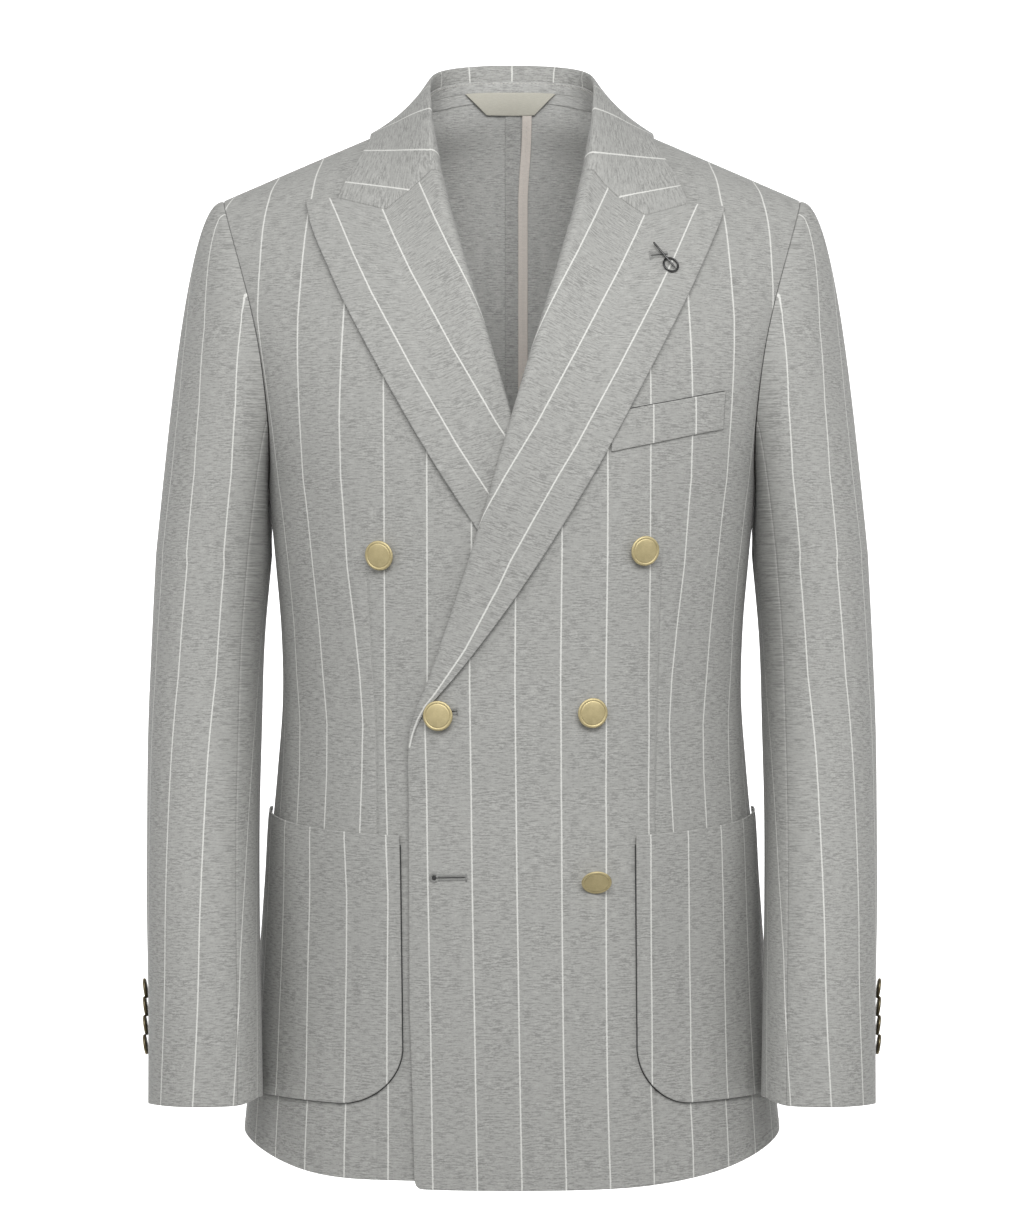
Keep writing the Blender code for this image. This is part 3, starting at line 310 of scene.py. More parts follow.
BACK = [
    Level(133, -704.0, 176.0, 62, -701, 2.30, 1.90, 3.0),
    Level(131, -656.0, 171.5, 61, -655, 2.30, 1.90, 3.0),
    Level(127, -608.0, 166.5, 59, -608, 2.30, 1.90, 3.0),
    Level(121, -558.0, 162.0, 56, -558, 2.30, 1.90, 3.0),
    Level(114, -504.0, 157.5, 53, -504, 2.30, 1.90, 3.0),
    Level(108, -450.0, 152.5, 50, -450, 2.30, 1.90, 3.0),
    Level(106, -400.0, 149.0, 48, -400, 2.30, 1.90, 3.0),
    Level(110, -350.0, 151.0, 46, -350, 2.30, 1.80, 3.0),
    Level(118, -300.0, 157.0, 46, -298, 2.30, 1.70, 3.0),
    Level(125, -250.0, 165.5, 50, -240, 2.30, 1.60, 3.0),
    Level(127, -208.0, 170.0, 64, -204, 2.30, 1.50, 2.5),
    Level(125, -167.0, 175.0, 72, -166, 2.20, 1.35, 2.0),
    Level(119, -126.0, 181.0, 70, -130, 2.10, 1.20, 1.8),
    Level(110, -85.0, 187.5, 59, -98, 2.00, 1.10, 1.5),
    Level(99, -45.0, 194.0, 42, -75, 1.90, 1.00, 1.3),
    Level(88, -9.5, 199.0, 24, -60, 2.00, 0.60, 1.2),
    Level(78, 15.5, 201.2, 13, -54.7, 2.00, 0.22, 1.26),
    None,  # the shoulder seam and the back of the neck, from top_of_back
]
ARMHOLE = 9  # the level where the side seams meet the armhole
TOP = len(FRONT) - 1

# The front edge as (z, x): the lap below the break, the roll line above it, then the neck seam.
FRONT_EDGE = [
    (-730, -64.0), (-660, -65.5), (-600, -67.5), (-520, -67.9), (-440, -68.4), (-418, -66.5),
    (-402, -61.5), (-386, -54.9), (-352, -43.5), (-312, -30.5), (-264, -15.8), (-226, -5.0),
    (-180, 8.5), (-132, 22.8), (-113, 28.5), (-69, 40.8), (-34, 48.7), (-18, 55.0), (-5, 61.0),
    (NECK_Z, NECK_X), (30, 86.0),
]
FOLD_SETBACK = LAPEL_WALL + 1.8  # from the fold of the lapel back to the front's own edge

# How far the upper front stands off the body where it laps the lower one.
LAP_FULL_X, LAP_GONE_X = 74.0, 122.0
LAP_RISE_HIGH, LAP_RISE_LOW = 6.4, 3.6
LAP_HIGH_Z, LAP_LOW_Z = -410.0, -470.0
LAP_CROSS_Z, LAP_FREE_Z = -190.0, -112.0  # above the crossing of the lapels it comes to rest


def smooth(low, high, value):
    """0 at low, 1 at high, with no corner at either."""
    share = np.clip((np.asarray(value, float) - low) / (high - low), 0, 1)
    return share * share * (3 - 2 * share)


def unit(vectors):
    return vectors / np.maximum(np.linalg.norm(vectors, axis=-1, keepdims=True), 1e-9)


def through(rows, t, beyond=None):
    """Catmull-Rom curves through rows[k] at t = k, heading past the last row for beyond."""
    rows = np.asarray(rows, float)
    before = 2 * rows[0] - rows[1]
    after = 2 * rows[-1] - rows[-2] if beyond is None else beyond
    knots = np.concatenate([before[None], rows, after[None]])
    t = np.clip(t, 0, len(rows) - 1)
    k = np.minimum(t.astype(int), len(rows) - 2)
    f = (t - k)[:, None]
    point = np.arange(rows.shape[1]) if rows.shape[1] > 1 else 0
    a, b, c, d = (knots[k + i, point] for i in range(4))
    return b + 0.5 * f * (c - a + f * (2 * a - 5 * b + 4 * c - d + f * (3 * (b - c) + d - a)))


def curve(points, count):
    """count points of a smooth curve through the given ones."""
    knots = np.asarray(points, float)[:, None, :]
    return through(knots, np.linspace(0, len(knots) - 1, count))


def lengths(points):
    """Length along a polyline up to each of its points."""
    return np.concatenate([[0], np.cumsum(np.linalg.norm(np.diff(points, axis=0), axis=1))])


def read_between(wanted, at, points):
    """Points of a polyline at wanted, where its own points are at these counts."""
    return np.stack([np.interp(wanted, at, axis) for axis in points.T], axis=1)


def at_shares(points, shares):
    """Points at these shares of the length of a polyline."""
    points = np.asarray(points, float)
    run = lengths(points)
    return read_between(shares * run[-1], run, points)


def by_length(points, count):
    """count points at even lengths along a polyline."""
    return at_shares(points, np.linspace(0, 1, count))


def bezier(p0, p1, p2, p3, share):
    rest = 1 - share
    return rest**3 * p0 + 3 * rest**2 * share * p1 + 3 * rest * share**2 * p2 + share**3 * p3


def level_curve(level, share):
    s = np.clip(np.abs(share), 0, 1)
    reach = (1 - s**level.full) ** (1 / level.turn)
    y = level.edge_y + (level.centre_y - level.edge_y) * reach
    z = level.centre_z + (level.edge_z - level.centre_z) * s**level.sweep
    return np.stack([level.edge_x * share, y, z], axis=-1)


def top_of_back(share):
    """The shoulder seam, and inside its neck end the collar's seam round to the nape."""
    x = SHOULDER_X * np.abs(share)
    slope = (NECK_Z - SHOULDER_Z) / (SHOULDER_X - NECK_X)
    round_neck = np.sqrt(np.clip(1 - (x / NECK_X) ** 2.4, 0, 1))
    y = SHOULDER_Y + (NAPE_Y - SHOULDER_Y) * round_neck
    z = NECK_Z + (NAPE_Z - NECK_Z) * round_neck - np.maximum(x - NECK_X, 0) * slope
    return np.stack([SHOULDER_X * share, y, z], axis=-1)


def front_rows(share):
    return [level_curve(level, share) for level in FRONT]


def back_rows(share):
    return [top_of_back(share) if level is None else level_curve(level, share) for level in BACK]


def front_base(share, t):
    """The front of the body without any lap. It runs on over the shoulder into the back."""
    return through(front_rows(share), t, beyond=back_rows(share)[-2])


def back_base(share, t):
    rows = back_rows(share)
    straight_on = 2 * rows[-1] - rows[-2]
    over = smooth(NECK_X * 0.7, NECK_X, SHOULDER_X * np.abs(share))[:, None]
    return through(rows, t, beyond=straight_on * (1 - over) + front_rows(share)[-2] * over)


NORMAL_SHARE, NORMAL_LEVEL = 0.985, 0.03  # nearer the edges, normals are taken here


def normals_of(surface, share, t, outward, step=0.02):
    """Unit normals by differences, taken just inside the edges of the surface."""
    share = np.clip(share, -NORMAL_SHARE, NORMAL_SHARE)
    t = np.clip(t, NORMAL_LEVEL, TOP - NORMAL_LEVEL)
    across = surface(share + step / 2, t) - surface(share - step / 2, t)
    up = surface(share, t + step) - surface(share, t - step)
    return unit(np.cross(across, up)) * outward


def front_normals(share, t):
    return normals_of(front_base, share, t, 1)


def back_normals(share, t):
    return normals_of(back_base, share, t, -1)


def lap_rise(side, x, z):
    """How far a front stands off the body: the left one lies over the right one."""
    if side < 0:
        return np.zeros_like(x)
    height = LAP_RISE_LOW + (LAP_RISE_HIGH - LAP_RISE_LOW) * smooth(LAP_LOW_Z, LAP_HIGH_Z, z)
    return height * (1 - smooth(LAP_FULL_X, LAP_GONE_X, x)) * (1 - smooth(LAP_CROSS_Z, LAP_FREE_Z, z))


def front_surface(side, share, t, lift=0.0):
    """Outer face of a front, or what lies lifted off it."""
    base = front_base(share, t)
    off = lap_rise(side, base[:, 0], base[:, 2]) + lift
    return base + front_normals(share, t) * off[:, None]


def level_at(share_of, z):
    """Levels where the front is z high; share_of gives the share for trial levels."""
    low, high = np.zeros(z.shape), np.full(z.shape, float(TOP))
    for _ in range(TRIALS):
        t = (low + high) / 2
        above = front_base(share_of(t), t)[:, 2] > z
        low, high = np.where(above, low, t), np.where(above, t, high)
    return t


def place_on_front(x, z):
    """Share and level on the front for places in the front view."""

    def share_of(t):
        return np.clip(x / front_base(np.ones_like(t), t)[:, 0], -1, 1)

    t = level_at(share_of, z)
    return share_of(t), t


def laid_on_front(side, x, z, lift):
    """Points that lie off a front and show at places in the front view, and the normals."""
    x, z, lift = (np.array(a, float) for a in np.broadcast_arrays(x, z, lift))
    shape = x.shape
    x, z, lift = x.ravel(), z.ravel(), lift.ravel()
    base_x, base_z = x, z
    for _ in range(4):
        share, t = place_on_front(base_x, base_z)
        normal = front_normals(share, t)
        off = lap_rise(side, base_x, base_z) + lift
        base_x, base_z = x - off * normal[:, 0], z - off * normal[:, 2]
    return front_surface(side, share, t, lift).reshape(*shape, 3), normal.reshape(*shape, 3)


def by_height(rows, z, column=1):
    """A column of a table whose rows start with their height, read between the rows."""
    return np.interp(z, [row[0] for row in rows], [row[column] for row in rows])


def fold_x(z):
    return by_height(FRONT_EDGE, z)


def taper(z):
    """How far the lapel has grown, from 0 at its tail in the front edge to 1 above the break."""
    return smooth(TAIL_Z, BREAK_Z + 8, z)


def panel_edge_x(z):
    """The front's own edge, which lies inside the fold of the lapel."""
    inside = taper(z) * (1 - smooth(GORGE_Z - 5, GORGE_Z + 15, z))
    return fold_x(z) + FOLD_SETBACK * inside


# The darts, by height: how far out the left and the right one lie.
DARTS = [
    (-700, 95.5, 90.6), (-486, 95.7, 90.7), (-420, 96.2, 91.4), (-356, 98.0, 95.2),
    (-300, 100.0, 98.5), (60, 101.0, 101.0),
]
DART_TOP = {1: -296.0, -1: -312.0}
DART_LINES = (-2.4, -1.3, -0.6, 0.0, 0.6, 1.3, 2.4)
DART_GROOVE = (0, 0.25, 0.7, 1, 0.7, 0.25, 0)  # of its depth, on these lines
DART_DEPTH = 0.75

# How the stripes lean beyond the darts: how far they lie from where the girth puts them, by
# height, near the dart and far from it.
LEANS = [
    (-640, 0.0, 0.0), (-560, -6.0, -6.0), (-487, -10.6, -12.0), (-450, -12.5, -13.4),
    (-416, -13.0, -11.5), (-383, -10.0, -5.5), (-350, -6.5, -3.0), (-309, -1.3, 1.5),
    (-251, 2.6, 11.0), (-211, 2.7, 9.5), (-140, -0.5, 9.0), (-100, -2.0, 4.5), (-54, -6.0, 0.5),
    (30, -6.0, 0.0),
]
LEAN_START, LEAN_NEAR, LEAN_FAR = 88.0, 117.0, 177.0
STRIPE_SHIFT = {1: -2.6, -1: 3.0}

# How far further out the stripes hang than that, by height, at these distances off the centre.
HANG_AT = {1: (-58, 2, 62, 100, 118, 142), -1: (85, 100, 111, 137, 155)}
HANG = {
    1: [
        (-718, 5.5, 4.1, 2.3, 3.2, 3.6, 4.4),
        (-700, 5.1, 3.7, 1.6, 2.9, 3.5, 4.4),
        (-652, 4.5, 2.8, 0.4, 1.0, 1.3, 2.6),
        (-612, 3.8, 2.1, -0.1, 1.3, 1.9, 3.6),
        (-572, 2.9, 1.5, -0.3, 0.9, 1.5, 3.7),
        (-530, 2.0, 0.8, -0.3, 0.7, 1.2, 3.1),
        (-486, 1.3, 0.3, -0.1, 0.2, 0.4, 1.4),
        (-386, 0.1, -0.7, -1.1, -1.0, -1.0, 0.0),
        (-300, 0, 0, 0, 0, 0, 0),
        (-60, 0, 0, 0, 0, 0, 0),
        (-35, 0, 0, 0, -9.5, 0, 0),
    ],
    -1: [
        (-700, -3.5, -2.4, -1.5, 1.2, 1.4),
        (-652, -3.2, -2.7, -2.3, -0.2, 0.1),
        (-612, -3.0, -2.5, -2.1, 0.9, 1.4),
        (-572, -3.2, -2.8, -2.5, 0.8, 0.4),
        (-530, -3.5, -3.0, -2.6, -0.3, -0.4),
        (-486, -1.9, -1.1, -0.5, -0.2, 0.0),
        (-430, -0.1, -0.2, -0.3, -0.4, 0.0),
        (-60, 0, 0, 0, 0, 0),
        (-35, 0, -8.0, 0, 0, 0),
    ],
}

# Girth of the front from the centre line, over level and share.
GIRTH_LEVELS, GIRTH_SHARES = np.linspace(0, TOP, 171), np.linspace(0, 1, 121)


def run_across(points):
    """Length along each row of a grid up to each column."""
    steps = np.linalg.norm(np.diff(points, axis=1), axis=2)
    return np.concatenate([np.zeros((len(points), 1)), np.cumsum(steps, axis=1)], axis=1)


def on_grid(surface, share, level):
    """Points of a surface, or its normals, on a grid of shares and levels."""
    return surface(share.ravel(), level.ravel()).reshape(*share.shape, 3)


def girths_of(surface):
    return run_across(on_grid(surface, *np.meshgrid(GIRTH_SHARES, GIRTH_LEVELS)))


def bilinear(table, row, column):
    """A table read between its rows and columns."""
    row, column = (np.clip(place, 0, size - 1.001) for place, size in zip((row, column), table.shape))
    r, c = row.astype(int), column.astype(int)
    fr, fc = row - r, column - c
    low = table[r, c] * (1 - fc) + table[r, c + 1] * fc
    high = table[r + 1, c] * (1 - fc) + table[r + 1, c + 1] * fc
    return low * (1 - fr) + high * fr


def read_girth(table, share, t):
    """Girth from the centre line to a share of a level, towards the side of the share."""
    row, column = np.asarray(t) / TOP * (len(GIRTH_LEVELS) - 1), np.abs(share) * (len(GIRTH_SHARES) - 1)
    return bilinear(table, row, column) * np.sign(share)


FRONT_GIRTH = girths_of(front_base)
BACK_GIRTH = girths_of(back_base)


def dart_x(side, z):
    return by_height(DARTS, z, 1 if side > 0 else 2)


def hang(side, x, z):
    """How far further out a stripe hangs at a place in the front view."""
    weights = [np.interp(x, HANG_AT[side], hat) for hat in np.eye(len(HANG_AT[side]))]
    return sum(weight * by_height(HANG[side], z, i + 1) for i, weight in enumerate(weights))


def across_front(side, share, t, z, x):
    """Weave coordinate across the stripes of a front, with the cloth that its dart takes up."""
    girth = read_girth(FRONT_GIRTH, share, t)
    near, far = by_height(LEANS, z, 1), by_height(LEANS, z, 2)
    lean = near + (far - near) * (girth - LEAN_NEAR) / (LEAN_FAR - LEAN_NEAR)
    eased = smooth(LEAN_START, LEAN_NEAR, girth)
    in_dart = smooth(DART_TOP[side] + 20, DART_TOP[side] - 10, z)
    past_dart = (x > dart_x(side, z)).astype(float)
    moved = lean * (eased * (1 - in_dart) + past_dart * in_dart) + hang(side, x, z)
    return girth - moved + STRIPE_SHIFT[side]


def edge_share(t):
    """Share of the half girth where the front's free edge lies."""
    width = front_base(np.ones_like(t), t)[:, 0]
    share = np.zeros_like(t)
    for _ in range(TRIALS):
        share = (share + panel_edge_x(front_base(share, t)[:, 2]) / width) / 2
    return share


def lines_of(share):
    """Shares and lines count the same girth; lines are the more even of the two."""
    return np.arcsin(np.clip(share, -1, 1)) / (np.pi / 2)


def shares_of(lines):
    return np.sin(lines * np.pi / 2)


FRONT_ROWS, FRONT_IN, FRONT_OUT = 196, 44, 26
CORNER_RADIUS = 5.5  # of the lower corner of the lap
CLOSE_ROWS, CLOSE_COLUMNS = (0.02, 0.04, 0.06, 0.085), (0.008, 0.016, 0.026, 0.042)


def hem_rise(x, level):
    """How much shorter the lower front is, next to its free edge."""
    return UNDER_HEM_RISE * (1 - smooth(60, 150, x)) * (1 - smooth(0, 3, level))


def front_panel(side):
    """Fine grid of a front with a bunch of lines along its dart: face, normals, weave."""
    t = np.linspace(0, TOP, FRONT_ROWS)
    t = np.concatenate([t[:1], CLOSE_ROWS, t[2:]])
    edge = lines_of(edge_share(t))
    width = front_base(np.ones_like(t), t)[:, 0]
    dart_share = np.full_like(t, 0.55)
    for _ in range(TRIALS):
        dart_share = (dart_share + dart_x(side, front_base(dart_share, t)[:, 2]) / width) / 2
    dart = lines_of(dart_share)
    girth = read_girth(FRONT_GIRTH, np.ones_like(t), t)
    offsets = np.array(DART_LINES)[None] / girth[:, None]
    spread = np.linspace(0, 1, FRONT_IN - len(CLOSE_COLUMNS) + 1)
    spread = np.concatenate([[0], CLOSE_COLUMNS, spread[2:]])
    inner = edge[:, None] + (dart + offsets[:, 0] - edge)[:, None] * spread[None, :-1]
    start = dart + offsets[:, -1]
    outer = start[:, None] + (1 - start)[:, None] * np.linspace(0, 1, FRONT_OUT)[None, 1:]
    lines = np.concatenate([inner, dart[:, None] + offsets, outer], axis=1)
    level = np.repeat(t[:, None], lines.shape[1], axis=1)
    share = shares_of(lines)
    points = on_grid(lambda *place: front_surface(side, *place), share, level)
    normals = on_grid(front_normals, share, level)
    in_dart = smooth(DART_TOP[side] + 2, DART_TOP[side] - 8, points[..., 2])
    groove = np.zeros(lines.shape[1])
    groove[FRONT_IN - 1 : FRONT_IN - 1 + len(DART_LINES)] = DART_GROOVE
    points -= normals * (groove[None] * in_dart * DART_DEPTH)[..., None]
    if side < 0:
        points[..., 2] += hem_rise(points[..., 0], level)
    from_edge = np.clip(CORNER_RADIUS - (points[..., 0] - points[:, :1, 0]), 0, CORNER_RADIUS)
    corner = CORNER_RADIUS - np.sqrt(CORNER_RADIUS**2 - from_edge**2)
    above_hem = points[..., 2] - points[:1, :, 2]
    points[..., 2] += corner * (1 - smooth(0, 3 * CORNER_RADIUS, above_hem))
    across = across_front(side, share, level, points[..., 2], points[..., 0])
    return points, normals, np.stack([across, level_courses(points)], axis=2)


def run_along(points):
    """Mean length along the columns of a grid up to each row."""
    steps = np.linalg.norm(np.diff(points, axis=0), axis=2).mean(axis=1)
    return np.concatenate([[0], np.cumsum(steps)])


def level_courses(points):
    """Weave coordinate along the stripes where the courses of the knit lie level."""
    z = points[..., 2]
    return run_along(points)[:, None] + z - z.mean(axis=1, keepdims=True)


def with_run(across, points):
    """Weave coordinates whose second counts the mean length along the columns."""
    along = np.repeat(run_along(points)[:, None], points.shape[1], axis=1)
    return np.stack([across, along], axis=2)


# Extra grid lines beside an edge, and how far they lie below the face: a turned edge is
# round over half the wall, and a seam pulls the face in.
FOLD_LINES, FOLD_DROPS = (0.12, 0.35, 0.7, 1.1), (0.80, 0.45, 0.20, 0.05, 0.0)
SEAM_LINES, SEAM_DROPS = (0.4, 1.0, 1.9), (0.75, 0.36, 0.10, 0.0)
SIDES = {"left": (1, 1), "right": (1, -1), "bottom": (0, 1), "top": (0, -1)}


def with_lines(grid, drops, edge, distances, depths):
    """The grid with more lines beside one edge, and the drop of each of its points."""
    axis, way = SIDES[edge]
    rows = np.moveaxis(grid, axis, 0)[::way]
    gap = np.linalg.norm((rows[1] - rows[0])[..., :3], axis=-1, keepdims=True)
    extra = []
    for i, distance in enumerate(distances):
        share = np.minimum(distance / np.maximum(gap, 1e-6), 0.9 * (i + 1) / len(distances))
        extra.append(rows[0] + (rows[1] - rows[0]) * share)
    rows = np.concatenate([rows[:1], np.stack(extra), rows[1:]])[::way]
    deep = np.moveaxis(drops, axis, 0)[::way]
    more = np.concatenate([deep[:1]] * (len(distances) + 1) + [deep[1:]])
    for i, depth in enumerate(depths):
        more[i] = np.maximum(more[i], depth)
    return np.moveaxis(rows, 0, axis), np.moveaxis(more[::way], 0, axis)


def cloth(
    name, face, outward, weave, wall=CLOTH, folds=(), seams=(), mirror=False, outside=STRIPED, inside=PLAIN
):
    """A closed wall of cloth behind a grid, with round turned edges and drawn-in seams."""
    thick = np.broadcast_to(wall, face.shape[:2])
    grid = np.concatenate([face, outward, weave, thick[..., None]], axis=2)
    turn = np.zeros(grid.shape[:2])
    pull = np.zeros(grid.shape[:2])
    for edge in folds:
        before = grid
        grid, turn = with_lines(before, turn, edge, FOLD_LINES, FOLD_DROPS)
        _, pull = with_lines(before, pull, edge, FOLD_LINES, [0] * len(FOLD_DROPS))
    for edge in seams:
        before = grid
        grid, pull = with_lines(before, pull, edge, SEAM_LINES, SEAM_DROPS)
        _, turn = with_lines(before, turn, edge, SEAM_LINES, [0] * len(SEAM_DROPS))
    if mirror:
        grid = grid[:, ::-1] * np.array([-1, 1, 1, -1, 1, 1, 1, 1, 1])
        turn, pull = turn[:, ::-1], pull[:, ::-1]
    points, normals, weave, thick = grid[..., :3], unit(grid[..., 3:6]), grid[..., 6:8], grid[..., 8]
    turn = turn * thick / 2
    near = points - normals * np.maximum(turn, np.minimum(pull, thick * 0.8))[..., None]
    far = points - normals * (thick - turn)[..., None]
    rows, columns = points.shape[:2]
    corner = np.arange(rows * columns).reshape(rows, columns)
    quads = np.stack([corner[:-1, :-1], corner[:-1, 1:], corner[1:, 1:], corner[1:, :-1]], axis=2)
    quads = quads.reshape(-1, 4)
    count = rows * columns
    border = np.concatenate([corner[0], corner[1:, -1], corner[-1, -2::-1], corner[-2:0:-1, 0]])
    after = np.roll(border, -1)
    rim = np.stack([border, border + count, after + count, after], axis=1)
    faces = np.concatenate([quads, quads[:, ::-1] + count, rim])
    corners = np.concatenate([near.reshape(-1, 3), far.reshape(-1, 3)]) * MM
    piece = build(name, corners.tolist(), faces.tolist(), outside, inside)
    mesh = piece.data
    slots = np.zeros(len(faces), int)
    slots[len(quads) : 2 * len(quads)] = 1
    mesh.polygons.foreach_set("material_index", slots)
    uv = mesh.uv_layers.new(name="weave")
    both = np.concatenate([weave.reshape(-1, 2)] * 2) * MM
    uv.data.foreach_set("uv", both[faces.ravel()].ravel())
    mesh.update()
    return piece


def area_of(piece):
    """One side of a closed wall of cloth, in square metres."""
    return sum(polygon.area for polygon in piece.data.polygons) / 2


def seat(piece, slot, *nodes):
    """The piece rides on the jacket and takes the place of these solids."""
    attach(piece, "root")
    if nodes:
        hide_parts(*nodes)


LEAST_SIDE, LEAST_SHARE = 0.0101, 0.3  # of a sheet: its sides in metres, and what it fills of them


def declare(piece, *nodes, slot="striped_jersey", held="hung", rests_on=()):
    """Seat the piece, and measure its sides along the weave and its area."""
    seat(piece, slot, *nodes)
    uv = np.zeros(len(piece.data.loops) * 2)
    piece.data.uv_layers["weave"].data.foreach_get("uv", uv)
    width, length = (max(float(span), LEAST_SIDE) for span in np.ptp(uv.reshape(-1, 2), axis=0))
    area = max(min(area_of(piece), width * length), LEAST_SHARE * width * length)


WORDS = {1: "left", -1: "right"}
for side, word in WORDS.items():
    edges = {"folds": ("left", "bottom"), "seams": ("right", "top")}
    piece = cloth(f"front_{word}_cloth", *front_panel(side), **edges, mirror=side < 0)
    declare(piece, f"front_{word}", f"front_upper_{word}")

# --- Backs ---------------------------------------------------------------------------------
# Two half backs, sewn down the centre back, their hem turned up. They carry the neck seam
# between the shoulder seams.

BACK_ROWS, BACK_COLUMNS = 178, 58
BACK_STRIPE_SHIFT = 15.0
PANEL_EDGES = {"folds": ("bottom",), "seams": ("left", "right", "top")}


def back_panel():
    share = shares_of(np.linspace(0, 1, BACK_COLUMNS))
    level, share = np.meshgrid(np.linspace(0, TOP, BACK_ROWS), share, indexing="ij")
    points, normals = on_grid(back_base, share, level), on_grid(back_normals, share, level)
    across = read_girth(BACK_GIRTH, share, level) + BACK_STRIPE_SHIFT
    weave = np.stack([across, level_courses(points)], axis=2)
    # Seen from behind, the columns run the other way.
    return points[:, ::-1], normals[:, ::-1], weave[:, ::-1]


for side, word in WORDS.items():
    piece = cloth(f"back_{word}_cloth", *back_panel(), **PANEL_EDGES, mirror=side < 0)
    declare(piece, f"back_{word}", f"back_upper_{word}")

# --- Side panels ---------------------------------------------------------------------------
# A narrow panel under each arm, between front and back, dipped where the sleeve is sewn in.

SIDE_HOLD = 0.36  # how long the side panel runs straight on from the front and the back
SIDE_ROWS, SIDE_COLUMNS = 112, 14
ARMHOLE_DIP = 6.0  # of the panel, under the arm


def side_surface(across, t):
    """Side panel: across is 0 at the front's seam and 1 at the back's."""
    near = front_base(np.ones_like(t), t)
    far = back_base(np.ones_like(t), t)
    way = unit(far - back_base(np.full_like(t, 0.97), t))
    hold = SIDE_HOLD * np.linalg.norm(far - near, axis=1, keepdims=True)
    return bezier(near, near + [0, 1, 0] * hold, far + way * hold, far, across[:, None])


def side_panel():
    rows, columns = np.linspace(0, ARMHOLE, SIDE_ROWS), np.linspace(0, 1, SIDE_COLUMNS)
    level, across = np.meshgrid(rows, columns, indexing="ij")
    points = on_grid(side_surface, across, level)
    points[..., 2] -= np.sin(np.pi * across) * ARMHOLE_DIP * smooth(ARMHOLE - 2, ARMHOLE, level)
    girth = read_girth(FRONT_GIRTH, np.ones(len(level)), level[:, 0])[:, None] + run_across(points)
    return points, grid_normals(points), np.stack([girth, level_courses(points)], axis=2)


def grid_normals(grid):
    """Unit normals on the face of a grid."""
    return unit(np.cross(np.gradient(grid, axis=1), np.gradient(grid, axis=0)))


for side, word in WORDS.items():
    piece = cloth(f"side_panel_{word}_cloth", *side_panel(), **PANEL_EDGES, mirror=side < 0)
    declare(piece, f"side_panel_{word}")

# --- Lapels --------------------------------------------------------------------------------
# Peak lapels of two layers, rolled over the front edge from the break up to the gorge. The
# stripes run parallel to their outer edge.

# The two halves of the collar were sewn a little differently: the seam from the roll, the end
# of the notch, the corner of the collar, and the shoulder and tip of the peak beside it.
Gorge = namedtuple("Gorge", "seam notch corner shoulder tip")
GORGES = {
    1: Gorge([(65.9, -52.3), (75.1, -59.3)], (90.9, -70.2), (121.5, -60.0), (132.5, -59.3), (147.3, -60.6)),
    -1: Gorge([(65.0, -48.4), (74.0, -55.6)], (86.3, -66.0), (119.8, -55.8), (129.5, -55.4), (142.8, -55.4)),
}
LAPEL_TAIL = [(-67.6, TAIL_Z), (-65.5, -422.5), (-61.8, -413.2), (-56.2, -404.0)]
# The outer edge above the tail: heights, and how far out each lapel goes there.
LAPEL_EDGE_Z = (-395.7, -371.4, -332.0, -288.5, -240.0, -186.5, -134.0, -106.0, -77.0)
LAPEL_EDGE_X = {
    1: (-48.6, -28.0, 1.6, 30.4, 59.7, 88.4, 115.4, 128.6, 141.3),
    -1: (-49.6, -34.0, -8.0, 21.4, 53.1, 84.2, 112.2, 125.2, 137.4),
}
LAYER = 0.5  # between two layers that lie on each other
LAPEL_LIFT = 4.2  # of its face over the front
EDGE_WALL = 2.6  # at the edge, with the turned-in allowances
LAPEL_PRESSED = 2.3  # where the other front lies on it
LAPEL_ROLL_LOW, LAPEL_ROLL_HIGH = 3.2, 10.5  # of its fold, at the break and at the gorge
ROLL_REACH = 40.0  # how far from the fold the roll lies down
TAIL_ROW, BREAK_ROW, GORGE_ROW = 7.17, 8, 22  # of the front's grid
RETURN = 9.0  # of the lapel behind the front
TAIL_SHARE = 0.06  # of its thickness and height that is left at the tail
SWELL_START, SWELL_END = 0.75, 0.98  # across it, where the turned-in allowances fill it out
PRESS_START, PRESS_END = -24.0, -6.0  # across the other front's edge
ROWS_BELOW, ROWS_ABOVE = 12, 13
TAIL_STEPS = 14
LEVELS = np.concatenate(
    [np.linspace(0, ARMHOLE, ROWS_BELOW + 1), np.linspace(ARMHOLE, TOP, ROWS_ABOVE + 1)[1:]]
)
COLLAR_COLUMNS = 6  # from the fold to the corner of the collar
PEAK_COLUMNS = 2  # from there to the tip of the lapel
FINER_ROWS, FINER_COLUMNS = 9, 6
# How far inside the outer edge the first stripe runs, by height. It runs out into the tail.
EDGE_STRIPE = [
    (-431, 0.8), (-417, 1.3), (-397, 2.4), (-364, 6.4), (-335, 11.5), (-306, 16.3), (-279, 18.6),
    (-250, 19.6),
]


def lapel_lift(side, x, z, distance):
    """Height of the lapel's face over its front, at a distance from the fold."""
    roll = LAPEL_ROLL_LOW + (LAPEL_ROLL_HIGH - LAPEL_ROLL_LOW) * smooth(BREAK_Z + 60, GORGE_Z, z)
    rest = np.full_like(roll, LAPEL_LIFT)
    if side < 0:
        free = 1 - smooth(PRESS_START, PRESS_END, -x - fold_x(z))
        roll = LAPEL_PRESSED + (roll - LAPEL_PRESSED) * free
        rest = LAPEL_PRESSED + (rest - LAPEL_PRESSED) * free
    lift = rest + (roll - rest) * (1 - smooth(0, ROLL_REACH, distance))
    return lift * (TAIL_SHARE + (1 - TAIL_SHARE) * taper(z))


def gorge_path(side, crest):
    """Places from the roll along the gorge seam, the closed notch and the lapel's top edge."""
    gorge = GORGES[side]
    seam = by_length([crest, *gorge.seam, gorge.notch], COLLAR_COLUMNS - 1)
    notch = by_length([gorge.notch, gorge.corner], 3)[1:]
    peak = by_length([gorge.corner, gorge.shoulder, gorge.tip], PEAK_COLUMNS + 1)[1:]
    return np.concatenate([seam, notch, peak])


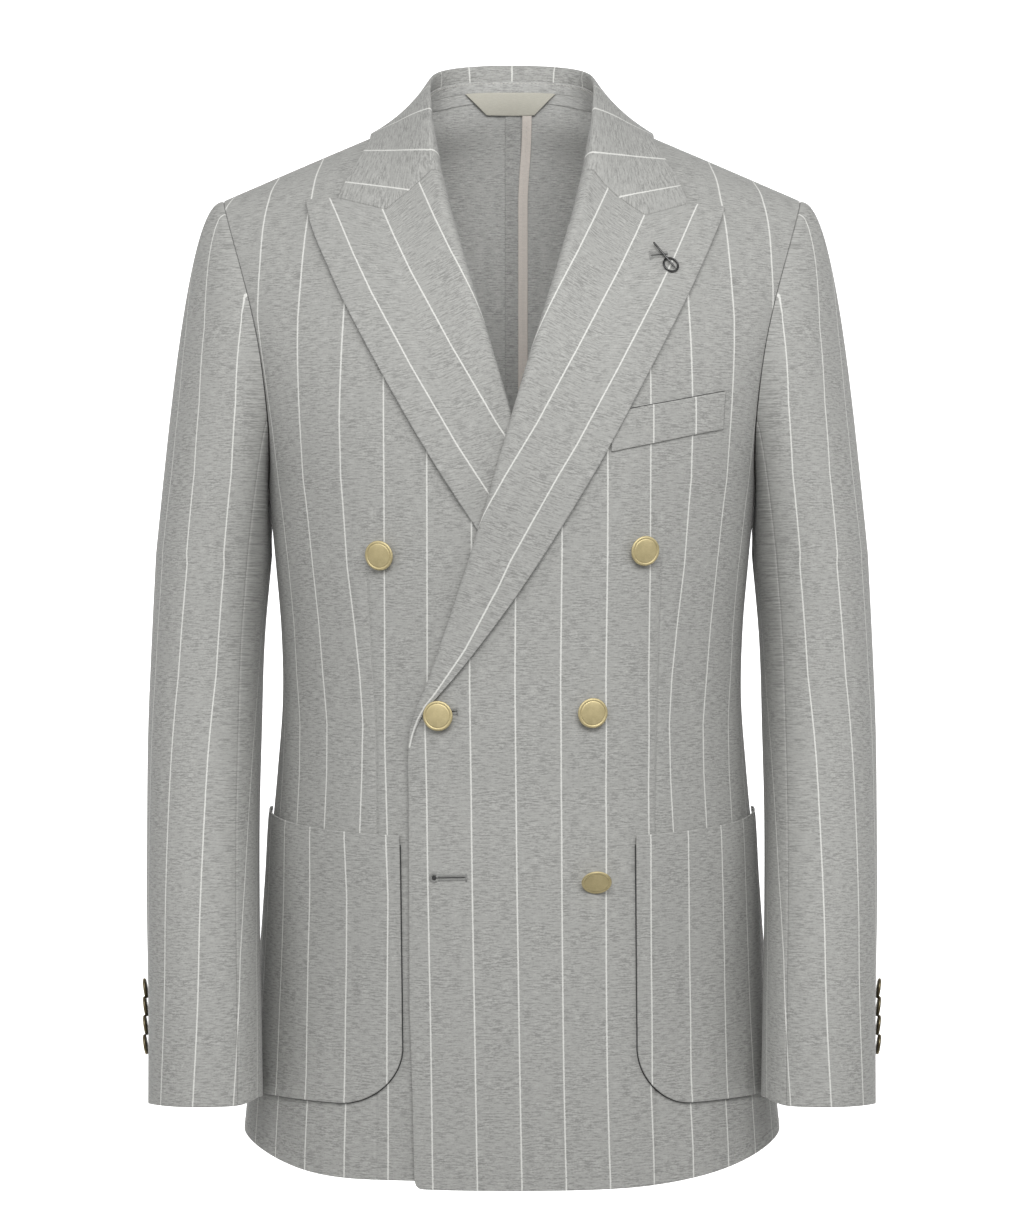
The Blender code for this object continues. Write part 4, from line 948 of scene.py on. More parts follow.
def wrap_fold(roll, degrees):
    """A point on the roll: -90 lies behind the front, 0 is the fold, 90 the lapel's face."""
    angle = math.radians(degrees)
    half = roll.half[:, None]
    grown = roll.grown[:, None]
    reach = half * np.minimum(0.05 + 3 * grown, 1) if degrees > 0 else FOLD_SETBACK * grown
    height = roll.lift[:, None] - half * (1 - math.sin(angle))
    return roll.apex + roll.across * reach * (1 - math.cos(angle)) + roll.normal * height


Roll = namedtuple("Roll", "apex normal across lift half grown")


def roll_of(side, rows):
    """The roll of a lapel at part rows of the body; half is half its depth."""
    t = np.interp(rows, np.arange(len(LEVELS)), LEVELS)
    share = edge_share(t)
    edge = front_surface(side, share, t)
    normal = front_normals(share, t)
    next_share = shares_of(lines_of(share) + 0.01)
    across = unit(front_surface(side, next_share, t) - edge)
    grown = taper(edge[:, 2])
    apex = edge - across * (FOLD_SETBACK * grown)[:, None]
    lift = lapel_lift(side, apex[:, 0], apex[:, 2], 0.0)
    half = (lift + CLOTH + (LAYER + LAPEL_WALL) * grown) / 2
    return Roll(apex, normal, across, lift, half, grown)


def from_line(points, line):
    """Distance of places in the front view from a polyline."""
    start, way = line[:-1], np.diff(line, axis=0)
    gap = points[:, :, None] - start
    share = np.clip((gap * way).sum(-1) / (way * way).sum(-1), 0, 1)
    return np.linalg.norm(gap - way * share[..., None], axis=-1).min(axis=2)


def lapel(side):
    """Fine grid of a lapel: its return behind the front, round the fold, and out to its edge."""
    rows = np.linspace(BREAK_ROW, GORGE_ROW, (GORGE_ROW - BREAK_ROW) * FINER_ROWS + 1)
    rows = np.concatenate([np.linspace(TAIL_ROW, BREAK_ROW, TAIL_STEPS)[:-1], rows])
    roll = roll_of(side, rows)
    crest = wrap_fold(roll, 90)[:, [0, 2]]
    run = lengths(crest)
    outline = [*LAPEL_TAIL, *zip(LAPEL_EDGE_X[side], LAPEL_EDGE_Z), GORGES[side].tip]
    outer = at_shares(curve(outline, 500), run / run[-1])
    count = COLLAR_COLUMNS + PEAK_COLUMNS
    w = np.linspace(0, 1, count * FINER_COLUMNS + 1)
    places = crest[:, None] + (outer - crest)[:, None] * w[:, None]
    path = gorge_path(side, crest[-1])
    path = read_between(w * count, np.arange(count + 1), path)
    share = run / run[-1]
    places += (path - places[-1]) * (share**4)[:, None, None]
    distance = roll.half[:, None] + np.linalg.norm(places - crest[:, None], axis=2)
    lifts = lapel_lift(side, places[..., 0], places[..., 1], distance)
    face, _ = laid_on_front(side, places[:, 1:, 0], places[:, 1:, 1], lifts[:, 1:])
    reaches = [roll.across * (reach * roll.grown)[:, None] for reach in np.linspace(RETURN, 0, 4)[:-1]]
    columns = [wrap_fold(roll, -90) + reach for reach in reaches]
    columns += [wrap_fold(roll, turn) for turn in np.linspace(-90, 90, 15)]
    points = np.stack(columns + list(face.transpose(1, 0, 2)), axis=1)

    line = np.array(outline[:-1])
    line = np.concatenate([line, [line[-1] + (line[-1] - line[-3]) * 2]])
    inward = from_line(places, line)
    round_fold = run_across(points)
    first = len(columns) - 1
    behind = inward[:, :1] + round_fold[:, first : first + 1] - round_fold[:, :first]
    stripes = np.concatenate([behind, inward], axis=1) + STRIPE_PITCH
    if side > 0:
        stripes -= by_height(EDGE_STRIPE, points[..., 2])
    else:
        stripes -= EDGE_STRIPE[-1][1]
    wall = np.repeat(LAPEL_WALL * np.maximum(roll.grown, TAIL_SHARE)[:, None], points.shape[1], axis=1)
    full = np.minimum(EDGE_WALL, lifts[:, 1:] - LAYER)
    swell = smooth(SWELL_START, SWELL_END, w[1:]) * (roll.grown > 0.9)[:, None]
    wall[:, len(columns) :] += np.maximum(full - wall[:, len(columns) :], 0) * swell
    return points, grid_normals(points), with_run(stripes, points), wall


for side, word in WORDS.items():
    edges = {"folds": ("left", "right", "bottom"), "seams": ("top",)}
    piece = cloth(f"lapel_{word}_cloth", *lapel(side), **edges, mirror=side < 0, inside=STRIPED)
    declare(piece, f"lapel_{word}", held="folded", rests_on=[f"front_{word}_cloth"])

# --- Collar --------------------------------------------------------------------------------
# One collar from gorge to gorge: a stand that rises from the neck seam and a fall that
# covers it. Its stripes run from the seam over the fold to the edge.

COLLAR_FINER = 6
# The fold of the collar, from the centre back round to the roll line.
COLLAR_FOLD = [
    (0.0, 78.0, 53.8), (20.0, 76.3, 53.2), (38.0, 69.0, 50.8), (49.0, 56.0, 47.0),
    (54.8, 38.0, 42.0), (57.4, 18.0, 36.0), (58.0, 0.0, 28.5), (57.0, -19.0, 17.0),
    (54.6, -38.0, 0.5), (51.8, -51.5, -16.0), (48.7, -62.5, GORGE_Z),
]
# Its outer edge: a share and level of the back, then places on the front.
COLLAR_EDGE_BACK = [
    (0.0, 15.72), (0.12, 15.70), (0.25, 15.75), (0.37, 15.95), (0.445, 16.4), (0.488, 17.0),
]
COLLAR_EDGE_FRONT = [(99.7, -11.0), (103.2, -18.8), (110.6, -33.5), (114.8, -42.5)]
COLLAR_LIFT, COLLAR_WALL = 3.0, 1.1
COLLAR_HALF, STAND_ROWS = 15, 4
STAND_TURNS = (-25, 5, 35, 63, 90)  # how far round the lapel's roll its rows end
STAND_LIFT = 0.8  # of the stand's lower edge over the neck seam
STAND_BULGE = 4.0  # inwards, half way up
FOLD_IN, FOLD_OUT = 4.0, 3.0  # how full the fold is on each side of its crest
STAND_HOLD, FALL_HOLD, FALL_OUT = 0.45, 0.38, -4.0  # how the curves of both leave
NECK_SHARE = NECK_X / SHOULDER_X
# Stripes of the collar. Round the back they follow lengths along the fold; on the fronts three
# of them lie at heights that slope by so much from a distance off the centre.
COLLAR_RUN, COLLAR_WEAVE = (0, 32, 159, 210), (0, 30, 150, 195)
COLLAR_STRIPES = {  # x, z, slope
    1: [(55.0, 8.7, -0.167), (50.0, -26.0, -0.01), (74.0, -57.5, 0.253)],
    -1: [(55.0, 8.7, -0.167), (50.0, -24.9, 0.1), (74.0, -51.9, 0.188)],
}


def collar_half(side):
    """Fine grid of half a collar, centre back to front, and its weave across the stripes."""
    count = COLLAR_HALF * COLLAR_FINER + 1
    fold = by_length(curve(COLLAR_FOLD, 300), count)
    edge = curve(COLLAR_EDGE_BACK, 60)
    on_back = back_base(edge[:, 0], edge[:, 1]) + COLLAR_LIFT * back_normals(edge[:, 0], edge[:, 1])
    edge = curve([*COLLAR_EDGE_FRONT, GORGES[side].corner], 60)
    on_front, _ = laid_on_front(-1, edge[:, 0], edge[:, 1], COLLAR_LIFT)
    outer = by_length(np.concatenate([on_back, on_front]), count)

    share = np.linspace(0, NECK_SHARE, 30)
    nape = back_base(share, np.full_like(share, TOP))
    t = np.interp(np.linspace(len(LEVELS) - 1, GORGE_ROW, 30)[1:], np.arange(len(LEVELS)), LEVELS)
    share = edge_share(t)
    front = front_surface(-1, share, t) + front_normals(share, t) * STAND_LIFT
    seam = by_length(np.concatenate([nape + [0, 0, STAND_LIFT], front]), count)

    way = unit((outer - fold) * [1, 1, 0])
    rise, drop = fold - seam, outer - fold
    rows = []
    for share in np.linspace(0, 1, STAND_ROWS * COLLAR_FINER + 1)[:-1]:
        low = seam + STAND_HOLD * rise - way * STAND_BULGE
        rows.append(bezier(seam, low, fold - way * FOLD_IN, fold, share))
    for share in np.linspace(0, 1, COLLAR_COLUMNS * COLLAR_FINER + 1):
        low = outer - FALL_HOLD * drop + way * FALL_OUT
        rows.append(bezier(fold, fold + way * FOLD_OUT, low, outer, share))
    grid = np.stack(rows)

    roll = roll_of(-1, np.array([float(GORGE_ROW)]))
    crest = wrap_fold(roll, 90)
    path = gorge_path(side, crest[0, [0, 2]])[: COLLAR_COLUMNS + 1]
    step = np.linspace(0, COLLAR_COLUMNS, COLLAR_COLUMNS * COLLAR_FINER + 1)
    path = read_between(step, np.arange(len(path)), path)
    distance = roll.half + np.linalg.norm(path - path[0], axis=1)
    lifts = lapel_lift(-1, path[:, 0], path[:, 1], distance)
    fall, _ = laid_on_front(-1, path[1:, 0], path[1:, 1], lifts[1:])
    stand_rows = np.arange(STAND_ROWS * COLLAR_FINER) / COLLAR_FINER
    turns = np.interp(stand_rows, range(STAND_ROWS + 1), STAND_TURNS)
    stand = [wrap_fold(roll, turn) for turn in turns]
    end = np.concatenate([*stand, crest, fall])
    ease = smooth(0.45, 1.0, np.linspace(0, 1, count)) ** 2
    grid = grid + (end - grid[:, -1])[:, None, :] * ease[None, :, None]
    length = lengths(fold)
    x, z = grid[..., 0], grid[..., 2]
    first, second, third = (at_z + (x - at_x) * slope for at_x, at_z, slope in COLLAR_STRIPES[side])
    high = 180 + (second - z) / (first - second) * 30
    low = 180 + (second - z) / (second - third) * 30
    in_front = np.where(z > second, high, low)
    front = smooth(95, 150, length)[None]
    across = np.interp(length, COLLAR_RUN, COLLAR_WEAVE)[None] * (1 - front) + in_front * front
    across[: STAND_ROWS * COLLAR_FINER] = across[STAND_ROWS * COLLAR_FINER]
    return grid, across


half, across = collar_half(1)
other_half, other_across = collar_half(-1)
collar_face = np.concatenate([other_half[:, :0:-1] * (-1, 1, 1), half], axis=1)
collar_out = grid_normals(collar_face)
across = np.concatenate([-other_across[:, :0:-1], across], axis=1)
swell = smooth(0.6, 0.95, np.linspace(-2 / 3, 1, len(collar_face)))[:, None]
piece = cloth(
    "collar_cloth",
    collar_face,
    collar_out,
    with_run(across, collar_face),
    wall=COLLAR_WALL + (COLLAR_LIFT - LAYER - COLLAR_WALL) * swell,
    folds=("bottom", "top"),
    seams=("left", "right"),
    inside=STRIPED,
)
declare(piece, "collar", held="folded", rests_on=["back_left_cloth", "back_right_cloth"])

# A band of plain jersey is felled along the inside of the stand, over the top of a facing
# that covers the neck seam.
TRIM_WALL = 1.0  # of the band, the welt, the tape and the label
BAND_HALF = 9
# The rows of the stand where the band starts and ends, at the centre and at its ends.
BAND_LOW, BAND_HIGH = (0.9, 4.4), (7.4, 11.0)
FACING_DROP, FACING_WALL = 6.0, 0.5
LEVEL_HEIGHT = 25  # of the uppermost level of the back
BAND_FOLDS = ("bottom", "top", "left", "right")
middle = across.shape[1] // 2
columns = np.arange(middle - BAND_HALF * COLLAR_FINER, middle + BAND_HALF * COLLAR_FINER + 1)
outwards = np.abs(np.linspace(-1, 1, len(columns))) ** 1.6


def on_stand(row, lift):
    """Points on the stand's inside and their normals, at a part row for each column."""
    low = row.astype(int)
    share = (row - low)[:, None]
    point = collar_face[low, columns] * (1 - share) + collar_face[low + 1, columns] * share
    normal = unit(collar_out[low, columns] * (1 - share) + collar_out[low + 1, columns] * share)
    return point + normal * lift, normal


def inside_back(level, x, depth):
    """Points and inward normals at a depth from the back's face."""
    width = back_base(np.ones_like(level), level)[:, 0]
    share = x / width
    outward = back_normals(share, level)
    return back_base(share, level) - outward * depth, -outward


low_row = BAND_LOW[0] + (BAND_LOW[1] - BAND_LOW[0]) * outwards
high_row = BAND_HIGH[0] + (BAND_HIGH[1] - BAND_HIGH[0]) * outwards
rows = [low_row + (high_row - low_row) * share for share in np.linspace(0, 1, 9)]
strips = [on_stand(row, LAYER + TRIM_WALL) for row in rows]
band, band_out = (np.stack(parts) for parts in zip(*strips))
band_weave = with_run(run_across(band), band)
piece = cloth("neck_tape_cloth", band, band_out, band_weave, wall=TRIM_WALL, folds=BAND_FOLDS, outside=PLAIN)
declare(piece, "neck_tape", held="laid", rests_on=["collar_cloth"])

top, top_out = on_stand(low_row + 1.0, LAYER + FACING_WALL)
inner = np.abs(top[:, 0]) < NECK_X * 0.93
top, top_out = top[inner], top_out[inner]
below_seam = np.full(len(top), float(TOP)) - FACING_DROP / LEVEL_HEIGHT
bottom, bottom_out = inside_back(below_seam, top[:, 0] * 0.99, CLOTH + LAYER / 2 + FACING_WALL)
steps = np.linspace(0, 1, 7)[:, None, None]
facing_face = bottom + (top - bottom) * steps
facing_out = unit(bottom_out + (top_out - bottom_out) * steps)
weave = with_run(run_across(facing_face), facing_face)
piece = cloth(
    "neck_facing_cloth", facing_face, facing_out, weave, wall=FACING_WALL, folds=BAND_FOLDS, outside=PLAIN
)
declare(piece, held="laid", rests_on=["collar_cloth"])

# --- Sleeves -------------------------------------------------------------------------------
# Two-piece sleeves, bent forward at the elbow: a top sleeve that shows from the front and
# an under sleeve. The back seam winds round to the outside of the cuff.

Ring = namedtuple("Ring", "z centre_x centre_y half_x half_y")
SLEEVE = [
    Ring(-300, 208.4, 2, 40.0, 69.0),
    Ring(-360, 212.0, -4, 38.8, 67.5),
    Ring(-420, 213.2, -16, 38.9, 65.5),
    Ring(-480, 212.9, -34, 38.3, 62.5),
    Ring(-540, 211.2, -56, 38.1, 58.5),
    Ring(-600, 208.6, -76, 37.9, 54.0),
    Ring(-668, 206.7, -93, 38.3, 50.0),
]
SLEEVE_FULL = 2.4
CAP_BEND, CAP_BEND_UNDER = 0.44, 0.9  # low where the cap turns over sharply
UNDERARM_OUT = 1.4  # keeps the sleeve off the side panel
CUFF_DROP_BACK, CUFF_RISE_INSIDE = 8.0, 4.7
BACK_SEAM_AT_CAP, BACK_SEAM_AT_CUFF = -0.26, -0.04
FRONT_SEAM_AT_CAP, FRONT_SEAM_AT_CUFF = 0.335, 0.345
# How far round from the outside the first three stripes lie, by height.
SLEEVE_STRIPES = [
    (-668, 43.3, 68.3, 96.0), (-572, 53.6, 78.5, 109.6), (-497, 60.6, 86.5, 125.3),
    (-434, 67.0, 92.9, 138.3), (-383, 72.3, 98.6, 151.3), (-308, 76.5, 102.2, 165.0),
    (-245, 71.2, 97.8, 165.0), (-197, 63.6, 91.6, 160.0), (-143, 50.8, 81.4, 150.0),
    (-113, 39.6, 74.0, 140.0), (-95, 32.6, 73.0, 130.0), (-65, 21.6, 66.0, 115.0),
]
SLEEVE_PITCH = 27.0  # of the stripes further round; the sleeve's girth holds this many
STRIPES_ROUND = 12
# Its girths are measured from this place round it, in so many steps a turn, at these heights.
U_START, U_STEPS, U_ZERO = -0.3, 200, 60
GIRTH_LOW, GIRTH_HIGH, GIRTH_STEP = -680.0, -52, 4
SLEEVE_CAP_ROWS, SLEEVE_ARM_ROWS, TOP_LINES, UNDER_LINES = 66, 94, 62, 40


def armhole():
    """The armhole seam as a loop from the shoulder down the front and up the back."""
    t = np.linspace(TOP, ARMHOLE, 60)
    front = front_surface(-1, np.ones_like(t), t)
    across = np.linspace(0, 1, 14)[1:-1]
    under = side_surface(across, np.full_like(across, ARMHOLE))
    under[:, 2] -= np.sin(np.pi * across) * ARMHOLE_DIP
    back = back_base(np.ones_like(t), t[::-1])
    return np.concatenate([front, under, back])


def quarters(loop, start_marks):
    """Four stretches of a closed loop between the marks."""
    marks = [*start_marks, len(loop) - 1]
    return [loop[first : last + 1] for first, last in zip(marks, marks[1:])]


def round_loop(stretches, u):
    """Points at u, which goes from 0 to 1 round four stretches, a quarter for each."""
    points = np.zeros((len(u), 3))
    for i, stretch in enumerate(stretches):
        run = lengths(stretch)
        here = (u >= i / 4) & (u <= (i + 1) / 4)
        points[here] = read_between((u[here] * 4 - i) * run[-1], run, stretch)
    return points


def ring_stretches(ring):
    """A level section of a sleeve: outside, front, inside, back and round to the outside."""
    angle = np.linspace(0, 2 * np.pi, 161)
    cos, sin = np.cos(angle), np.sin(angle)
    power = 2 / SLEEVE_FULL
    x = ring.centre_x + ring.half_x * np.sign(cos) * np.abs(cos) ** power
    y = ring.centre_y - ring.half_y * np.sign(sin) * np.abs(sin) ** power
    return quarters(np.stack([x, y, np.full_like(x, ring.z)], axis=1), [0, 40, 80, 120])


ARMHOLE_LOOP = armhole()
LOOP_MARKS = [0, *(int(np.argmin(ARMHOLE_LOOP @ way)) for way in ([0, 1, 0], [0, 0, 1], [0, -1, 0]))]


def sleeve_surface(u, down):
    """A sleeve: u from 0 at the outside by the front, and down from 0 at the armhole to 2."""
    u = np.mod(u, 1.0)
    start = round_loop(quarters(ARMHOLE_LOOP, LOOP_MARKS), u)
    rings = [round_loop(ring_stretches(ring), u) for ring in SLEEVE]

    outside = 0.5 + 0.5 * np.cos(2 * np.pi * u)
    start = start + np.stack([UNDERARM_OUT * (1 - outside) ** 2, 0 * u, 0 * u], axis=1)
    bend = CAP_BEND_UNDER + (CAP_BEND - CAP_BEND_UNDER) * outside**0.7
    cap = np.minimum(down, 1)
    sideways = (cap ** (2 * bend))[:, None]
    drop = (cap**2)[:, None]
    share = np.concatenate([sideways, sideways, drop], axis=1)
    above = start + (rings[0] - start) * share
    below = through(rings, np.maximum(down - 1, 0) * (len(SLEEVE) - 1))
    points = np.where((down < 1)[:, None], above, below)
    points[:, 2] -= CUFF_DROP_BACK * smooth(-1, 1, -np.sin(2 * np.pi * u)) * smooth(1.5, 2, down)
    inner = smooth(0.33, 0.47, u) * (1 - smooth(0.53, 0.75, u))
    points[:, 2] += CUFF_RISE_INSIDE * inner * smooth(1.8, 2, down)
    return points


def sleeve_seams(down):
    """Places round the sleeve of its two seams."""
    back = BACK_SEAM_AT_CAP + (BACK_SEAM_AT_CUFF - BACK_SEAM_AT_CAP) * smooth(0.3, 2.0, down)
    front = FRONT_SEAM_AT_CAP + (FRONT_SEAM_AT_CUFF - FRONT_SEAM_AT_CAP) * down / 2
    return back, front


def level_girths():
    """Lengths round level sections of a sleeve, from the outside forwards, by height and u."""
    u, down = np.linspace(U_START, 1.0, 261), np.linspace(0, 2, 161)
    grid = on_grid(sleeve_surface, *np.meshgrid(u, down))
    heights = np.arange(GIRTH_LOW, GIRTH_HIGH, GIRTH_STEP)
    upward = grid[::-1].swapaxes(0, 1)
    section = [[np.interp(heights, column[:, 2], column[:, i]) for i in (0, 1)] for column in upward]
    arc = run_across(np.array(section).transpose(2, 0, 1))
    return arc - arc[:, U_ZERO : U_ZERO + 1]


def stripe_to_stripe(arc, start, end, rate):
    """Weave coordinate from one stripe to the next, which runs at this rate at both."""
    width = end - start
    x = np.clip((arc - start) / width, 0, 1)
    return STRIPE_PITCH * x * x * (3 - 2 * x) + rate * width * x * (1 - x) * (1 - 2 * x)


def sleeve_weave(u, z, under):
    """Weave coordinate across the stripes; past the inside of the arm it counts from the back."""
    row = np.clip((z - GIRTH_LOW) / GIRTH_STEP, 0, len(SLEEVE_GIRTHS) - 1.001)
    arc = bilinear(SLEEVE_GIRTHS, row, (u - U_START) * U_STEPS)
    whole = np.interp(row, np.arange(len(SLEEVE_GIRTHS)), SLEEVE_GIRTHS[:, -1])
    first, second, third = (by_height(SLEEVE_STRIPES, z, i) for i in (1, 2, 3))
    rate = STRIPE_PITCH / SLEEVE_PITCH
    between = stripe_to_stripe(arc, first, second, rate)
    inner = STRIPE_PITCH + stripe_to_stripe(arc, second, third, rate)
    outer, beyond = (arc - first) * rate, 2 * STRIPE_PITCH + (arc - third) * rate
    across = np.select([arc < first, arc < second, arc < third], [outer, between, inner], beyond)
    if under:
        from_back = (arc - whole - first) * rate + STRIPES_ROUND * STRIPE_PITCH
        across += (from_back - across) * smooth(0.47, 0.7, u)
    return across


SLEEVE_GIRTHS = level_girths()


def sleeve(which):
    """Fine grid of a top or an under sleeve: face, normals, weave."""
    down = [np.linspace(0, 1, SLEEVE_CAP_ROWS), np.linspace(1, 2, SLEEVE_ARM_ROWS)[1:]]
    down = np.concatenate(down)[::-1]
    back, front = sleeve_seams(down)
    first, last, columns = (front, back, TOP_LINES) if which == "top" else (back + 1, front, UNDER_LINES)
    u = first[:, None] + (last - first)[:, None] * np.linspace(0, 1, columns)
    level = np.repeat(down[:, None], columns, axis=1)
    points = on_grid(sleeve_surface, u, level)
    inside, step = np.clip(level, 0.02, 1.98), 0.01
    round_it = on_grid(sleeve_surface, u + step, inside) - on_grid(sleeve_surface, u - step, inside)
    along = on_grid(sleeve_surface, u, inside + step) - on_grid(sleeve_surface, u, inside - step)
    across = sleeve_weave(u, points[..., 2], which == "under")
    return points, unit(np.cross(round_it, along)), np.stack([across, points[..., 2]], axis=2)


for side, word in WORDS.items():
    for which in ("top", "under"):
        piece = cloth(f"{which}_sleeve_{word}_cloth", *sleeve(which), **PANEL_EDGES, mirror=side < 0)
        declare(piece, f"{which}_sleeve_{word}", f"{which}_sleeve_upper_{word}")

# --- Patch pockets -------------------------------------------------------------------------
# A large patch pocket on each side, its front corner round, its mouth standing a little off
# the body. It is one layer, turned in all round and felled on by hand.

POCKET_FRONT, POCKET_FOLLOW = 0.297, 0.414  # the columns between them follow the front edge
POCKET_BACK = 1.2  # round the girth, past the side seam
SIDE_GIRTH = 64  # across the side panel, along the weave
POCKET_MOUTH_FRONT_Z, POCKET_MOUTH_BACK_Z = -489.5, -476.3
POCKET_MOUTH_LEVEL = 0.78  # share of its width past which the mouth runs level
POCKET_BOTTOM_Z = -669.0
POCKET_CORNER_Z = 37.0
POCKET_LIFT, POCKET_FLARE = 2.5, 1.2  # of its face over the front; more at the mouth
POCKET_FINE_ROWS, POCKET_FINE_COLUMNS = 90, 76
TURNING, PUCKER = 7.0, 0.35  # width of the turned-in allowance, depth of the line along it
# The front edge hangs straight: how far out it lies at the mouth and at the bottom, and the
# share of the girth that the round corner takes.
PocketEdge = namedtuple("PocketEdge", "mouth bottom corner")
POCKET_EDGE = {1: PocketEdge(80.9, 82.0, 0.16), -1: PocketEdge(74.4, 72.6, 0.135)}


def round_body(side, lines, z):
    """Points and normals on the body's girth: 0 is the centre front, 1 the side seam."""
    shape = z.shape
    lines, z = np.broadcast_to(lines, shape).ravel(), z.ravel()
    share = shares_of(np.minimum(lines, 1))
    t = level_at(lambda trial: share, z)
    past = (lines > 1)[:, None]
    points = np.where(past, side_surface(np.maximum(lines - 1, 0), t), front_surface(side, share, t))
    turn = smooth(0.85, 1.0, lines)[:, None]
    normal = unit(front_normals(share, t) * (1 - turn) + np.array([1.0, 0, 0]) * turn)
    return points.reshape(*shape, 3), normal.reshape(*shape, 3)


def pocket(side):
    """Fine grid of a patch pocket: face, normals, weave."""
    width = POCKET_BACK - POCKET_FRONT
    lines = POCKET_FRONT + width * np.linspace(0, 1, POCKET_FINE_COLUMNS) ** 1.5
    edge = POCKET_EDGE[side]
    near = np.minimum(lines - POCKET_FRONT, (POCKET_BACK - lines) * 0.8) / edge.corner
    round_off = 1 - np.sqrt(1 - (1 - np.clip(near, 0, 1)) ** 2)
    bottom = POCKET_BOTTOM_Z + POCKET_CORNER_Z * round_off
    share = (lines - POCKET_FRONT) / width
    rise = np.minimum(share / POCKET_MOUTH_LEVEL, 1) ** 1.5
    mouth = POCKET_MOUTH_FRONT_Z + (POCKET_MOUTH_BACK_Z - POCKET_MOUTH_FRONT_Z) * rise
    up = np.linspace(0, 1, POCKET_FINE_ROWS)[:, None]
    z = bottom + (mouth - bottom) * up
    half_width = np.interp(z[:, :1], [level.centre_z for level in FRONT], [level.edge_x for level in FRONT])
    first = lines_of((edge.bottom + (edge.mouth - edge.bottom) * up) / half_width)
    follow = np.clip((POCKET_FOLLOW - lines) / (POCKET_FOLLOW - POCKET_FRONT), 0, 1)
    lines = lines + (first - POCKET_FRONT) * follow
    point, normal = round_body(side, lines, z)
    flare = POCKET_FLARE * smooth(0.75, 1.0, up) * (0.3 + 0.7 * smooth(0.55, 0.8, share))
    # A shallow pucker runs along the inside of the turning.
    from_side = np.linalg.norm(point - point[:, :1], axis=2)
    from_end = np.minimum(z - bottom, (mouth - z) * 3)
    pucker = np.exp(-(((np.minimum(from_side, from_end) - TURNING) / 1.6) ** 2)) * PUCKER
    face = point + normal * (POCKET_LIFT + flare - pucker)[..., None]
    front_share = shares_of(np.minimum(lines, 1))
    t = level_at(lambda trial: front_share.ravel(), z.ravel()).reshape(z.shape)
    across = read_girth(FRONT_GIRTH, front_share, t) + STRIPE_SHIFT[side]
    across = across + np.maximum(lines - 1, 0) * SIDE_GIRTH - hang(side, point[..., 0], z)
    return face, normal, np.stack([across, z], axis=2)


POCKETS = {side: pocket(side) for side in WORDS}
for side, word in WORDS.items():
    edges = ("left", "right", "bottom", "top")
    piece = cloth(f"pocket_{word}_cloth", *POCKETS[side], folds=edges, mirror=side < 0)
    declare(piece, f"pocket_{word}", held="laid", rests_on=[f"front_{word}_cloth"])

# --- Chest welt ----------------------------------------------------------------------------
# A slanted welt on the left breast, curved a little like the hull of a boat, sewn down at
# both ends. The lapel covers its inner end.

WELT_X, WELT_Z, WELT_SLOPE, WELT_HEIGHT = 89.0, -228.7, 0.222, 25.5
CHEST_HALF_WIDTH = 167.0
WELT_START, WELT_END = 0.252, 0.651
WELT_STRIPE_SHIFT = 1.5
ALL_ROUND = ("left", "right", "top", "bottom")

lines = np.linspace(WELT_START, WELT_END, 40)
x = CHEST_HALF_WIDTH * shares_of(lines)
low = WELT_Z + (x - WELT_X) * WELT_SLOPE
z = low + WELT_HEIGHT * np.linspace(0, 1, 9)[:, None]
point, normal = round_body(1, lines, z)
share = shares_of(np.broadcast_to(lines, z.shape))
t = level_at(lambda trial: share.ravel(), z.ravel()).reshape(z.shape)
across = across_front(1, share, t, z, point[..., 0]) - WELT_STRIPE_SHIFT
welt_face, welt_out = point + normal * (LAYER + TRIM_WALL), normal
piece = cloth(
    "chest_welt_cloth",
    welt_face,
    welt_out,
    np.stack([across, z], axis=2),
    wall=TRIM_WALL,
    folds=ALL_ROUND,
)
declare(piece, "chest_welt", held="laid", rests_on=["front_left_cloth"])

# --- Front buttons -------------------------------------------------------------------------
# Five turned brass buttons, a line cut inside the rim of their slightly domed face, tumbled to
# a matt gold. They are sewn on by a shank and tip a little; the lowest one hangs.

Button = namedtuple("Button", "name side x z tilt")
BUTTONS = [
    Button("button_top_right", -1, 87.2, -302.0, 5),
    Button("button_top_left", 1, 87.2, -299.0, 5),
    Button("button_waist_right", 1, -48.6, -409.0, 4),
    Button("button_waist_left", 1, 52.9, -407.0, 6),
    Button("button_hip_left", 1, 56.0, -517.0, 43),
]
RIM_SHARE = 0.62  # of the drop of a tipped rim that the bevel behind it leaves
HANGS, TURNED_OUT = 20, 0.2  # one that is tipped further hangs, and turns to the front
FACE_PROFILE = [
    (0.0, 5.16), (4.0, 5.12), (7.4, 5.00), (7.95, 4.90), (8.15, 4.66), (8.35, 4.90), (8.8, 5.04),
    (9.3, 5.00), (9.75, 4.80), (10.0, 4.45), (10.05, 4.1), (9.8, 3.7), (9.0, 2.95), (6.0, 2.45),
    (3.0, 2.35), (2.7, 1.6), (2.7, 0.45), (0.0, 0.45),
]
RIM_RADIUS = 10.1


def turned(name, profile, finish, place, steps=72):
    """A closed solid from a profile of (radius, height), top to bottom, spun about Z."""
    mesh = bpy.data.meshes.new(name)
    verts = [(radius * MM, 0, height * MM) for radius, height in profile]
    mesh.from_pydata(verts, [(i, i + 1) for i in range(len(verts) - 1)], [])
    mesh.materials.append(finish)
    piece = add(name, mesh)
    piece.matrix_world = place
    spin = piece.modifiers.new("Screw", "SCREW")
    spin.steps = spin.render_steps = steps
    spin.use_merge_vertices = True
    spin.merge_threshold = 0.00001
    return piece


